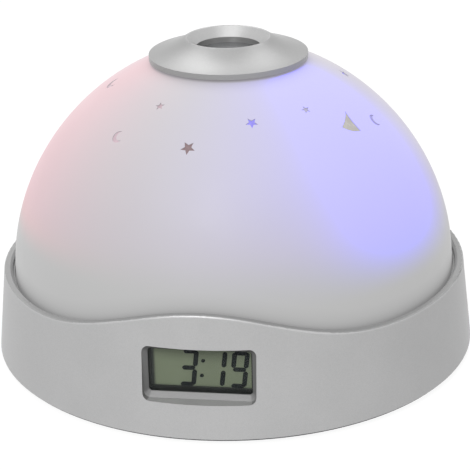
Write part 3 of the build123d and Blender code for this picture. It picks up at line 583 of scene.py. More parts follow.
def hand_over(piece: bpy.types.Object, body: Body, slot: Slot, *nodes: str) -> None:
    """Tells the frame what a new piece moves with, and the nodes that it stands for.

    Args:
        piece: the new piece.
        body: what it moves with.
        slot: not used.
        nodes: the nodes that it stands for, if there are any.
    """
    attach(piece, body.value)
    if nodes:
        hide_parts(*nodes)
    log.info("%s: %d faces on %s", piece.name, len(piece.data.polygons), body.value)


def paint(mesh: bpy.types.Mesh, finish: "Finish") -> None:
    """Gives all of a mesh one finish."""
    mesh.materials.clear()
    mesh.materials.append(finish.material())


def dress(finish: "Finish", *nodes: str) -> None:
    """Gives pieces that keep the frame's shape a finish.

    Args:
        finish: the finish.
        nodes: names of the pieces.
    """
    for node in nodes:
        paint(frame["nodes"][node].data, finish)
        log.info("%s: %s", node, finish.name)


def outwardness(face: bpy.types.MeshPolygon) -> float:
    """How far a face looks away from the z axis: 1 straight outwards, -1 straight inwards."""
    middle, normal = face.center, face.normal
    return (normal.x * middle.x + normal.y * middle.y) / max(math.hypot(middle.x, middle.y), NEAR_AXIS)


def dress_faces(finish: "Finish", node: str, chosen: FaceTest) -> None:
    """Gives the chosen faces of a dressed piece another finish.

    Args:
        finish: the other finish.
        node: the piece's name.
        chosen: tells whether a face gets it.
    """
    mesh = frame["nodes"][node].data
    number = len(mesh.materials)
    mesh.materials.append(finish.material())
    for face in mesh.polygons:
        if chosen(face):
            face.material_index = number


# ---------------------------------------------------------------- finishes


def empty_tree(owner: bpy.types.Material | bpy.types.World) -> Graph:
    """Starts the node tree of a material or of the world from nothing.

    Args:
        owner: the material or the world.

    Returns:
        The empty tree.
    """
    owner.use_nodes = True
    owner.node_tree.nodes.clear()
    return Graph(owner.node_tree)


@dataclass(frozen=True)
class Finish:
    """What every finish has.

    Colour and gloss follow a pattern. Where the pattern goes from the first to the second value of swing,
    the colour is multiplied by tone and gloss is added to the roughness, from their first to second value.
    """

    name: str
    color: Color
    roughness: float = 0.5
    swing: Range = (0.3, 0.7)
    tone: Range = (0.94, 1.06)
    gloss: Range = (-0.04, 0.04)

    def material(self) -> bpy.types.Material:
        """The finish as a material, made when it is first asked for.

        Returns:
            The material.
        """
        made = bpy.data.materials.get(self.name)
        if made is None:
            made = bpy.data.materials.new(self.name)
            graph = empty_tree(made)
            graph.put("ShaderNodeOutputMaterial", {"Surface": self.surface(graph)})
        return made

    def surface(self, graph: Graph) -> Socket:
        """Builds the finish's shader in a tree and returns its output."""
        raise NotImplementedError

    def toned(self, graph: Graph, pattern: Socket, color: Color | Socket) -> Socket:
        """A colour that follows a pattern."""
        return graph.shade(color, graph.fit(pattern, *self.swing, *self.tone))

    def glossed(self, graph: Graph, pattern: Socket, swing: Range) -> Socket:
        """The roughness as it follows a pattern."""
        low, high = (self.roughness + change for change in self.gloss)
        return graph.fit(pattern, *swing, low, high)

    def skin(self, graph: Graph, pattern: Socket, color: Color | Socket, **more: object) -> Socket:
        """A principled surface that follows a pattern.

        Args:
            graph: the tree that it is made in.
            pattern: a value of 0 to 1.
            color: the colour before the pattern.
            more: the surface's other inputs, with an underscore for each space in their names.

        Returns:
            The shader.
        """
        values = {name.replace("_", " "): value for name, value in more.items()}
        values["Base Color"] = self.toned(graph, pattern, color)
        if "Roughness" not in values:
            values["Roughness"] = self.glossed(graph, pattern, self.swing)
        return graph.out("ShaderNodeBsdfPrincipled", values)


@dataclass(frozen=True)
class Moulded(Finish):
    """Moulded plastic or rubber with the mould's fine texture."""

    swing: Range = (0.25, 0.75)
    tone: Range = (0.93, 1.05)
    gloss: Range = (-0.05, 0.05)
    grain: float = 0.25 * MM
    relief: float = 0.006 * MM
    clouds: float = 9 * MM
    shine: float = 0.5
    glow: float = 0.0

    def surface(self, graph: Graph) -> Socket:
        """Slow clouds in colour and gloss, over a fine grain.

        Args:
            graph: the material's tree.

        Returns:
            The shader.
        """
        grain = graph.bump(graph.noise(self.grain), self.relief)
        return self.skin(graph, graph.noise(self.clouds), self.color, Normal=grain,
                         Specular_IOR_Level=self.shine, Emission_Color=(*self.color, 1),
                         Emission_Strength=self.glow)


@dataclass(frozen=True)
class SilverPaint(Finish):
    """Silver paint: fine bright flakes under a satin skin."""

    swing: Range = (0.2, 0.8)
    tone: Range = (0.97, 1.03)
    gloss: Range = (-0.03, 0.03)
    clouds: float = 14 * MM
    metallic: float = 0.55
    flake: float = 0.12 * MM
    flake_tone: Range = (0.95, 1.05)
    flake_relief: float = 0.0002 * MM
    unevenness: float = 1.6 * MM
    relief: float = 0.0012 * MM
    coat: float = 0.12
    coat_roughness: float = 0.25

    def surface(self, graph: Graph) -> Socket:
        """Flakes of slightly different brightness and tilt, and a faint unevenness of the paint.

        Args:
            graph: the material's tree.

        Returns:
            The shader.
        """
        cells = graph.put("ShaderNodeTexVoronoi", {"Vector": graph.place(), "Scale": 1 / self.flake})
        spark = graph.out("ShaderNodeSeparateColor", {0: cells.outputs["Color"]})
        flakes = graph.shade(self.color, graph.fit(spark, 0.0, 1.0, *self.flake_tone, smooth=False))
        under = graph.bump(graph.noise(self.unevenness, detail=1.0), self.relief)
        return self.skin(graph, graph.noise(self.clouds, detail=3.0), flakes, Metallic=self.metallic,
                         Normal=graph.bump(spark, self.flake_relief, under), Coat_Weight=self.coat,
                         Coat_Roughness=self.coat_roughness)


@dataclass(frozen=True)
class Metal(Finish):
    """Plated or brushed metal."""

    tone: Range = (0.86, 1.04)
    gloss: Range = (-0.08, 0.08)
    stain: float = 3 * MM
    brushing: Point3 = (1, 1, 1)
    scratch: float = 0.3 * MM
    scratch_swing: Range = (0.2, 0.8)
    relief: float = 0.002 * MM

    def surface(self, graph: Graph) -> Socket:
        """Fine streaks in gloss and relief, and slow stains in the plating.

        Args:
            graph: the material's tree.

        Returns:
            The shader.
        """
        streaks = graph.noise(self.scratch, detail=3.0, stretch=self.brushing)
        return self.skin(graph, graph.noise(self.stain), self.color, Metallic=1.0,
                         Roughness=self.glossed(graph, streaks, self.scratch_swing),
                         Normal=graph.bump(streaks, self.relief))


@dataclass(frozen=True)
class Glow:
    """Coloured light that the dome's skin shows on one side, above the level of the emitters."""

    color: Color
    toward: Point2
    narrowness: float
    bottom: float
    full: float

    def light(self, graph: Graph, flat: Socket, z: Socket) -> Socket:
        """The glow's colour at a point, from its direction seen from above and its height.

        Args:
            graph: the material's tree.
            flat: direction of the point from the axis, seen from above.
            z: its height.

        Returns:
            The light's colour.
        """
        node = graph.put("ShaderNodeVectorMath", {0: flat, 1: (*self.toward, 0)}, operation="DOT_PRODUCT")
        facing = graph.larger(node.outputs["Value"], 0.0)
        strength = graph.power(facing, self.narrowness)
        return graph.shade(self.color, graph.times(strength, graph.fit(z, self.bottom, self.full)))


@dataclass(frozen=True)
class Frosted(Finish):
    """Frosted white plastic that is lit from inside."""

    tone: Range = (0.985, 1.015)
    clouds: float = 12 * MM
    grain: float = 0.12 * MM
    relief: float = 0.004 * MM
    shine: float = 0.35
    glows: tuple[Glow, ...] = ()
    inner: Color = (0.365, 0.365, 0.365)
    # Painted light: how much more white light the skin gives at the crown, as from the lamps above
    crown_painted_light: float = 0.09
    # A faint violet glow, painted light that fades in above the emitters' level
    violet_glow: Color = (0.022, 0.0, 0.031)
    violet_glow_bottom: float = 31 * MM
    violet_glow_full: float = 43 * MM
    foot: float = 24 * MM
    crown: float = 68 * MM
    shade_reach: float = 4.5 * MM
    shade_floor: float = 0.4
    shade_samples: int = 8
    glow_start: float = 0.2

    def surface(self, graph: Graph) -> Socket:
        """White skin with white light through all of it, painted brighter toward the crown as under lamps
        above, a faint violet glow above the emitters, and each emitter's light on its own side.

        Args:
            graph: the material's tree.

        Returns:
            The shader.
        """
        x, y, z = graph.axes()
        flat = graph.out("ShaderNodeVectorMath", {0: graph.vector(x, y, 0.0)}, operation="NORMALIZE")
        # Painted light: the white light grows toward the crown, as under the lamps above, and a faint violet
        # glow fades in above the emitters
        through = graph.fit(z, self.foot, self.crown, 1.0, 1 + self.crown_painted_light / self.inner[0])
        light = graph.add(graph.shade(self.inner, through),
                          graph.shade(self.violet_glow, graph.fit(z, self.violet_glow_bottom, self.violet_glow_full)))
        # Shade where the rim and the cap come close, deeper in the emitters' light
        values = {"Distance": self.shade_reach}
        open_side = graph.put("ShaderNodeAmbientOcclusion", values, samples=self.shade_samples).outputs["AO"]
        light = graph.shade(light, graph.fit(open_side, 0.0, 1.0, self.shade_floor, 1.0, smooth=False))
        for glow in self.glows:
            color = glow.light(graph, flat, z)
            light = graph.add(light, graph.shade(color, graph.fit(open_side, self.glow_start, 1.0)))
        grain = graph.bump(graph.noise(self.grain, detail=1.0), self.relief)
        return self.skin(graph, graph.noise(self.clouds, detail=3.0), self.color, Normal=grain,
                         Emission_Color=light, Emission_Strength=1.0, Specular_IOR_Level=self.shine)


@dataclass(frozen=True)
class ClearWindow(Finish):
    """A clear spot of the dome that shows its inside, lit by one of the emitters."""

    rosy: Color = (0.58, 0.44, 0.49)
    blue: Color = (0.3, 0.27, 0.87)
    pale: Color = (0.48, 0.46, 0.43)
    depths: float = 1.6 * MM
    reflected: float = 0.4

    def surface(self, graph: Graph) -> Socket:
        """One of four colours, by the value 0 to 3 that each window carries.

        Args:
            graph: the material's tree.

        Returns:
            The shader.
        """
        tint = graph.put("ShaderNodeAttribute", attribute_name="tint").outputs["Fac"]
        color = self.color
        for step, after in enumerate((self.rosy, self.blue, self.pale)):
            color = graph.mix(graph.fit(tint, step, step + 1, smooth=False), color, after)
        depths = graph.noise(self.depths, detail=1.0)
        inside = graph.shade(self.toned(graph, depths, color), 1 - self.reflected)
        return self.skin(graph, depths, graph.shade(color, self.reflected), Emission_Color=inside,
                         Emission_Strength=1.0)


@dataclass(frozen=True)
class Clear(Finish):
    """Thin clear plastic."""

    tone: Range = (0.95, 1.0)
    gloss: Range = (0.0, 0.06)
    dust: float = 2 * MM
    cover: float = 0.1

    def surface(self, graph: Graph) -> Socket:
        """Mostly see-through, with faint dust in its gloss."""
        return self.skin(graph, graph.noise(self.dust, detail=4.0), self.color, Alpha=self.cover)


@dataclass(frozen=True)
class Display(Finish):
    """The display's grey-green ground, with painted shade inside its left and bottom edges."""

    tone: Range = (0.96, 1.04)
    clouds: float = 6 * MM
    sparkle: float = 0.12 * MM
    sparkle_swing: Range = (0.2, 0.8)
    sparkle_tone: Range = (0.93, 1.07)
    relief: float = 0.001 * MM
    # Painted shade: the ground darkens to the edge colour over side_shadow from the left and over
    # sill_shadow from the bottom
    left: float = -10.7 * MM
    bottom: float = 10.4 * MM
    side_shadow: float = 0.8 * MM
    sill_shadow: float = 1.3 * MM
    edge: Color = (0.028, 0.034, 0.03)

    def surface(self, graph: Graph) -> Socket:
        """The ground, the reflector's fine sparkle behind it and painted shade inside the left and bottom
        edges.

        Args:
            graph: the material's tree.

        Returns:
            The shader.
        """
        x, _, z = graph.axes()
        sparkle = graph.noise(self.sparkle, detail=1.0)
        ground = graph.shade(self.color, graph.fit(sparkle, *self.sparkle_swing, *self.sparkle_tone))
        # Painted shade, darker towards the left and the bottom edge
        aside = graph.fit(x, self.left, self.left + self.side_shadow)
        above = graph.fit(z, self.bottom, self.bottom + self.sill_shadow)
        color = graph.mix(graph.times(aside, above), self.edge, ground)
        return self.skin(graph, graph.noise(self.clouds), color, Normal=graph.bump(sparkle, self.relief))


@dataclass(frozen=True)
class Board(Finish):
    """A circuit board: solder mask over fine copper tracks."""

    swing: Range = (0.0, 1.0)
    tone: Range = (0.8, 1.5)
    gloss: Range = (0.1, 0.0)
    patch: float = 2.7 * MM
    repeat: float = 0.12
    track: Range = (0.05, 0.07)
    relief: float = 0.03 * MM

    def surface(self, graph: Graph) -> Socket:
        """Tracks as ridges that shine a little paler through the mask.

        Args:
            graph: the material's tree.

        Returns:
            The shader.
        """
        cells = graph.put("ShaderNodeTexVoronoi", {"Vector": graph.place(), "Scale": 1 / self.patch},
                          feature="F1", distance="MANHATTAN")
        rings = graph.math("PINGPONG", cells.outputs["Distance"], self.repeat)
        tracks = graph.fit(rings, *self.track)
        return self.skin(graph, tracks, self.color, Normal=graph.bump(tracks, self.relief))


@dataclass(frozen=True)
class Jacket(Finish):
    """A battery's printed jacket: a plain body with a paler band at one end."""

    tone: Range = (0.9, 1.05)
    gloss: Range = (0.0, 0.12)
    scuff: float = 1.5 * MM
    scuff_stretch: Point3 = (1, 5, 1)
    relief: float = 0.004 * MM
    metallic: float = 0.4
    band: Color = (0.52, 0.33, 0.12)
    middle: float = 2 * MM
    band_start: float = 9 * MM
    band_edge: float = 0.1 * MM

    def surface(self, graph: Graph) -> Socket:
        """The band is at the end that each cell's nub faces, by the value that the cell carries.

        Args:
            graph: the material's tree.

        Returns:
            The shader.
        """
        _, y, _ = graph.axes()
        facing = graph.put("ShaderNodeAttribute", attribute_name="facing").outputs["Fac"]
        along = graph.times(graph.minus(y, self.middle), facing)
        banded = graph.fit(along, self.band_start, self.band_start + self.band_edge)
        scuffs = graph.noise(self.scuff, detail=4.0, stretch=self.scuff_stretch)
        return self.skin(graph, scuffs, graph.mix(banded, self.color, self.band), Metallic=self.metallic,
                         Normal=graph.bump(scuffs, self.relief))


SILVER = SilverPaint("silver_paint_satin", (0.465, 0.465, 0.467), 0.45, metallic=0.35)
SILVER_CAP = SilverPaint("silver_paint_cap", (0.31, 0.31, 0.31), 0.38, metallic=0.5)
# Painted shade on the sides of the display's recess: a darker copy of the ring's silver paint
SILVER_SHADE = SilverPaint("silver_paint_window", (0.19, 0.19, 0.19), 0.4, metallic=0.15)
# Painted light on the crater's wall: a lighter copy of the cap's silver paint
SILVER_CRATER_LIT = SilverPaint("silver_paint_crater", (0.45, 0.45, 0.45), 0.4, metallic=0.4)
# Painted shade on the rim's top: a darker copy of the ring's silver paint
SILVER_RIM_SHADE = SilverPaint("silver_paint_rim", (0.31, 0.31, 0.31), 0.45, metallic=0.35)
# Painted shade on the recess's floor, lighter than on its sides as it faces up
SILVER_SILL_SHADE = SilverPaint("silver_paint_sill", (0.33, 0.33, 0.33), 0.4, metallic=0.15)
FROSTED = Frosted(
    "frosted_white", (0.12, 0.12, 0.12), 0.55,
    glows=(
        Glow((0.0, 0.0, 1.0), (0.866, -0.5), 17.9, 27.3 * MM, 43.1 * MM),
        Glow((0.0, 0.0, 0.27), (0.738, -0.674), 3.0, 27.6 * MM, 55.1 * MM),
        Glow((0.183, 0.0, 0.0), (-0.982, -0.188), 4.3, 31.1 * MM, 38.1 * MM),
    ),
)
WINDOW = ClearWindow("clear_window", (0.22, 0.145, 0.155), 0.25)
PANE = Clear("clear_pane", (0.05, 0.055, 0.055), 0.06)
LENS = Moulded("lens_clear_grey", (0.09, 0.093, 0.096), 0.18, grain=0.6 * MM, relief=0.002 * MM)
LCD_GROUND = Display("lcd_ground", (0.252, 0.3, 0.195), 0.45)
LCD_INK = Moulded("lcd_segment", (0.012, 0.017, 0.017), 0.4, grain=0.1 * MM, relief=0.001 * MM, shine=0.1)
HOLDER = Moulded("holder_moulded", (0.036, 0.04, 0.037), 0.6)
DARK = Moulded("cover_moulded", (0.115, 0.118, 0.122), 0.62, grain=0.35 * MM, relief=0.014 * MM)
BUTTON = Moulded("button_moulded", (0.09, 0.092, 0.096), 0.5, grain=0.3 * MM, relief=0.008 * MM)
BLACK = Moulded("black_moulded", (0.02, 0.02, 0.022), 0.5)
WHITE = Moulded("white_moulded", (0.7, 0.7, 0.68), 0.5)
RUBBER = Moulded("foot_rubber_matt", (0.025, 0.025, 0.025), 0.85, grain=0.4 * MM, relief=0.02 * MM)
ZEBRA = Moulded("zebra_silicone", (0.08, 0.08, 0.09), 0.7)
RESIN = Moulded("black_resin_moulded", (0.012, 0.012, 0.013), 0.35)
FILM = Moulded("slide_film_dark", (0.03, 0.03, 0.035), 0.25)
BOARD = Board("board_green", (0.012, 0.075, 0.03), 0.35)
NICKEL = Metal("nickel_plate", (0.62, 0.6, 0.56), 0.28, brushing=(6, 1, 1))
ZINC = Metal("zinc_plate", (0.42, 0.42, 0.43), 0.38)
JACKET = Jacket("battery_jacket", (0.02, 0.02, 0.024), 0.35)
LED_FINISHES = {
    "led_projector": Moulded("epoxy_clear", (0.8, 0.8, 0.78), 0.12, glow=0.3),
    "led_blue": Moulded("epoxy_blue", (0.1, 0.12, 0.9), 0.12, glow=1.0),
    "led_green": Moulded("epoxy_green", (0.1, 0.6, 0.16), 0.12),
    "led_red": Moulded("epoxy_red", (0.85, 0.08, 0.05), 0.12, glow=1.0),
}


# ---------------------------------------------------------------- sub-assemblies


class WindowForm(Enum):
    """The forms of the clear windows in the dome."""

    STAR = 0
    CRESCENT = 1
    COMET = 2


@dataclass(frozen=True)
class DomeWindow:
    """One clear window in the dome.

    Azimuth and turn are in degrees, distance and width in millimetres, and tint is the number of its colour.
    """

    form: WindowForm
    azimuth: float
    distance: float
    width: float
    turn: float
    tint: float


STAR, CRESCENT, COMET = WindowForm


@dataclass
class Dome:
    """The frosted dome with its clear windows, a surface of revolution under one rule."""

    radius: float = 52.57 * MM
    rise: float = 52.8 * MM
    fullness: float = 1.925
    equator: float = 20.63 * MM
    wall: float = 1.6 * MM
    hole: float = 9.8 * MM
    flange_height: float = 1.8 * MM
    notch_back: float = 42.6 * MM
    notch_reach: float = 9 * MM
    notch_width: float = 29.2 * MM
    notch_top: float = 25.45 * MM
    window_depth: float = 0.4 * MM
    pane_height: float = 0.16 * MM
    pane_fit: float = 0.99
    crease: float = 25.0
    steps: int = 72
    segments: int = 256
    star_tips: int = 5
    star_waist: float = 0.45
    crescent_steps: tuple[int, int] = (24, 16)
    bite_radius: float = 0.4
    bite_shift: float = 0.25
    comet_corners: tuple[Point2, ...] = ((0.0, 0.6), (-0.5, -0.35), (0.5, -0.35))
    comet_bows: tuple[float, ...] = (0.06, -0.12, 0.06)
    comet_steps: int = 10
    windows: tuple[DomeWindow, ...] = (
        DomeWindow(STAR, -7.2, 34.2, 3.3, 180, 0.0),
        DomeWindow(STAR, 17.8, 29.2, 2.8, 175, 2.0),
        DomeWindow(STAR, 45.0, 28.2, 2.2, 150, 2.7),
        DomeWindow(COMET, 61.2, 33.4, 5.4, -30, 3.0),
        DomeWindow(STAR, -27.4, 26.3, 2.2, 20, 0.8),
        DomeWindow(CRESCENT, -37.8, 34.4, 3.0, 30, 1.0),
        DomeWindow(CRESCENT, 76.2, 35.5, 3.1, -20, 2.3),
        DomeWindow(STAR, 101.0, 27.0, 3.0, 60, 2.0),
        DomeWindow(COMET, 122.0, 33.5, 4.9, 200, 2.4),
        DomeWindow(STAR, 146.0, 28.5, 3.2, 90, 0.6),
        DomeWindow(CRESCENT, 168.0, 34.0, 4.2, 15, 0.0),
        DomeWindow(STAR, -170.0, 26.5, 2.6, 40, 0.0),
        DomeWindow(STAR, -149.0, 33.0, 3.6, 200, 0.0),
        DomeWindow(COMET, -124.0, 28.0, 4.4, 330, 0.6),
        DomeWindow(STAR, -101.0, 34.5, 3.0, 110, 1.0),
        DomeWindow(CRESCENT, -78.0, 27.0, 3.6, 70, 1.0),
    )

    def profile(self, recipe: Recipe, radius: Socket) -> Socket:
        """The wall's closed profile: up the outside, down the inside and round the flange.

        Args:
            recipe: the tree that it is made in.
            radius: the dome's radius in that tree.

        Returns:
            A curve in the spine's plane, measured from the spine.
        """
        graph = recipe.graph
        low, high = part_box("dome")
        rise, fullness, equator, wall, hole, flange_height, steps = recipe.sizes(
            self, "rise", "fullness", "equator", "wall", "hole", "flange_height", "steps")
        foot = recipe.size("Foot height", low.z)
        flange = recipe.size("Flange radius", high.x)
        index = graph.out("GeometryNodeInputIndex")
        last = graph.minus(steps, 1.0)
        both = graph.times(steps, 2.0)

        def choose(test: Socket, yes: float | Socket, no: float | Socket) -> Socket:
            """One of two numbers."""
            values = {"Switch": test, "True": yes, "False": no}
            return graph.out("GeometryNodeSwitch", values, input_type="FLOAT")

        # Skin: the outside first, then the inside on the way back
        outside = graph.below(index, steps)
        inset = choose(outside, 0.0, wall)
        back = graph.minus(graph.minus(both, 1.0), index)
        share = graph.over(choose(outside, index, back), last, clamp=True)
        reach = graph.minus(radius, inset)
        edge = graph.power(graph.over(hole, reach), graph.over(fullness, 2.0))
        turn = graph.times(graph.math("ARCCOSINE", edge), share)
        bend = graph.over(2.0, fullness)
        skin_r = graph.times(reach, graph.power(graph.math("COSINE", turn), bend))
        climb = graph.power(graph.math("SINE", turn), bend)
        skin_z = graph.math("MULTIPLY_ADD", graph.minus(rise, inset), climb, equator)
        # Foot: four corners after the skin, told apart by the numbers halfway between theirs
        corner = graph.minus(index, both)
        on_skin = graph.below(corner, -0.5)
        foot_z = choose(graph.below(corner, 1.5), foot, graph.plus(foot, flange_height))
        wall_r = choose(graph.below(corner, 2.5), graph.minus(radius, wall), radius)
        on_flange = graph.below(graph.math("ABSOLUTE", graph.minus(corner, 1.5)), 1.0)
        foot_r = choose(on_flange, flange, wall_r)
        across = graph.minus(choose(on_skin, skin_r, foot_r), radius)
        down = graph.times(choose(on_skin, skin_z, foot_z), -1.0)
        loop = graph.out("GeometryNodeCurvePrimitiveCircle", {"Resolution": graph.plus(both, 4.0)})
        values = {"Geometry": loop, "Position": graph.vector(across, down, 0.0)}
        return graph.out("GeometryNodeSetPosition", values)

    def shell(self) -> bpy.types.Object:
        """Turns the profile about the dome's axis.

        Returns:
            The shell, without windows and notch.
        """
        recipe = Recipe("dome_shell")
        graph = recipe.graph
        radius, segments = recipe.sizes(self, "radius", "segments")
        values = {"Resolution": segments, "Radius": radius}
        turn = graph.out("GeometryNodeCurvePrimitiveCircle", values)
        spine = graph.out("GeometryNodeSetCurveNormal", {"Curve": turn}, mode="Z_UP")
        values = {"Curve": spine, "Profile Curve": self.profile(recipe, radius)}
        return recipe.run(graph.out("GeometryNodeCurveToMesh", values), FROSTED)

    def star(self) -> list[Point2]:
        """A star one metre wide, with one tip towards y.

        Returns:
            Its corners in order.
        """
        step = math.pi / self.star_tips
        tip = 1 / (2 * math.cos(step / 2))
        spokes = [tip, tip * self.star_waist] * self.star_tips
        turns = [math.pi / 2 + step * number for number in range(2 * self.star_tips)]
        return [(spoke * math.cos(turn), spoke * math.sin(turn)) for spoke, turn in zip(spokes, turns)]

    def crescent(self) -> list[Point2]:
        """A crescent one metre wide: a disc with a smaller one, moved towards x, bitten out of it.

        Returns:
            Its corners in order.
        """
        radius, bite, shift = 0.5, self.bite_radius, self.bite_shift
        horn_x = (radius**2 - bite**2 + shift**2) / (2 * shift)
        outer, inner = math.acos(horn_x / radius), math.acos((horn_x - shift) / bite)
        far_steps, near_steps = self.crescent_steps
        far = [outer + (math.tau - 2 * outer) * n / far_steps for n in range(far_steps + 1)]
        near = [math.tau - inner + (2 * inner - math.tau) * n / near_steps for n in range(1, near_steps)]
        points = [(radius * math.cos(turn), radius * math.sin(turn)) for turn in far]
        return points + [(shift + bite * math.cos(turn), bite * math.sin(turn)) for turn in near]

    def comet(self) -> list[Point2]:
        """A comet one metre wide: a triangle whose sides are bowed out or in.

        Returns:
            Its corners in order.
        """
        points = []
        corners = self.comet_corners
        for (x0, y0), (x1, y1), bow in zip(corners, corners[1:] + corners[:1], self.comet_bows):
            length = math.hypot(x1 - x0, y1 - y0)
            for step in range(self.comet_steps):
                share = step / self.comet_steps
                off = 4 * bow * share * (1 - share) / length
                points.append((x0 + (x1 - x0) * share - (y1 - y0) * off,
                               y0 + (y1 - y0) * share + (x1 - x0) * off))
        return points

    def plates(self, name: str, bottom: float, top: float, scale: float) -> bpy.types.Object:
        """Plates of the windows' forms, on the dome's skin.

        Args:
            name: the piece's name.
            bottom: height of the plates' lower faces over the skin.
            top: height of their upper faces.
            scale: their width, as a share of the windows' width.

        Returns:
            All plates as one piece.
        """
        points = point_mesh(
            [(0, 0, 0)] * len(self.windows),
            azimuth=[math.radians(window.azimuth) for window in self.windows],
            distance=[window.distance * MM for window in self.windows],
            width=[window.width * scale * MM for window in self.windows],
            turn=[math.radians(window.turn) for window in self.windows],
            tint=[window.tint for window in self.windows],
            form=[window.form.value for window in self.windows],
        )
        forms = [prism(outline, bottom, top) for outline in (self.star(), self.crescent(), self.comet())]
        return scatter(name, forms, points, WINDOW, rotate=self.lean, after=self.lift)

    def heading(self, recipe: Recipe) -> tuple[Socket, Socket, Socket, Socket]:
        """Works out where each point is, seen from the dome's axis.

        Args:
            recipe: a recipe whose points carry azimuth and distance.

        Returns:
            The direction's x and y, and the distance and the height as shares of the dome's.
        """
        graph = recipe.graph
        azimuth = recipe.attribute("azimuth")
        forward = graph.times(graph.math("COSINE", azimuth), -1.0)
        share = graph.over(recipe.attribute("distance"), self.radius)
        rest = graph.minus(1.0, graph.power(share, self.fullness))
        climb = graph.power(rest, 1 / self.fullness)
        return graph.math("SINE", azimuth), forward, share, climb

    def lean(self, recipe: Recipe) -> Socket:
        """Rotation that lays a form on the skin, its x level, and then turns it in the skin.

        Args:
            recipe: a recipe whose points carry the windows' values.

        Returns:
            The rotation.
        """
        graph = recipe.graph
        across, forward, share, climb = self.heading(recipe)
        power = self.fullness - 1
        outward = graph.over(graph.power(share, power), self.radius)
        upward = graph.over(graph.power(climb, power), self.rise)
        normal = graph.vector(graph.times(outward, across), graph.times(outward, forward), upward)
        level = graph.vector(graph.times(forward, -1.0), across, 0.0)
        laid = graph.out("FunctionNodeAxesToRotation", {0: normal, 1: level},
                         primary_axis="Z", secondary_axis="X")
        return recipe.turned(laid)

    def lift(self, recipe: Recipe, placed: Socket) -> Socket:
        """Moves the placed forms onto the skin.

        Args:
            recipe: a recipe whose points carry the windows' values.
            placed: the forms, turned but still on the axis.

        Returns:
            The forms in place.
        """
        graph = recipe.graph
        across, forward, _, climb = self.heading(recipe)
        distance = recipe.attribute("distance")
        place = graph.vector(graph.times(across, distance), graph.times(forward, distance),
                             graph.math("MULTIPLY_ADD", climb, self.rise, self.equator))
        return graph.out("GeometryNodeSetPosition", {"Geometry": placed, "Position": place})

    def build(self) -> None:
        """Makes the shell with its recesses and its notch, and the clear plates in the recesses."""
        depth = self.window_depth
        shell = smooth(self.shell())
        windows = smooth(self.plates("window_cutters", -depth, 2 * depth, 1.0))
        half, front = self.notch_width / 2, -self.radius - self.notch_reach
        base = rectangle(-half, half, front, -self.notch_back)
        notch = prism(base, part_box("dome")[0].z - MM, self.notch_top)
        carve(shell, windows, smooth(add_object("notch_cutter", notch)))
        paint(shell.data, FROSTED)
        hand_over(smooth(shell, self.crease), Body.CLOCK, Slot.FROSTED, "dome")
        panes = self.plates("dome_clear_windows", -depth, self.pane_height - depth, self.pane_fit)
        hand_over(smooth(panes), Body.CLOCK, Slot.FROSTED)


class SegmentForm(Enum):
    """The forms of the display's segments and of the colon's dots."""

    ACROSS = 0
    UPRIGHT = 1
    DOT = 2


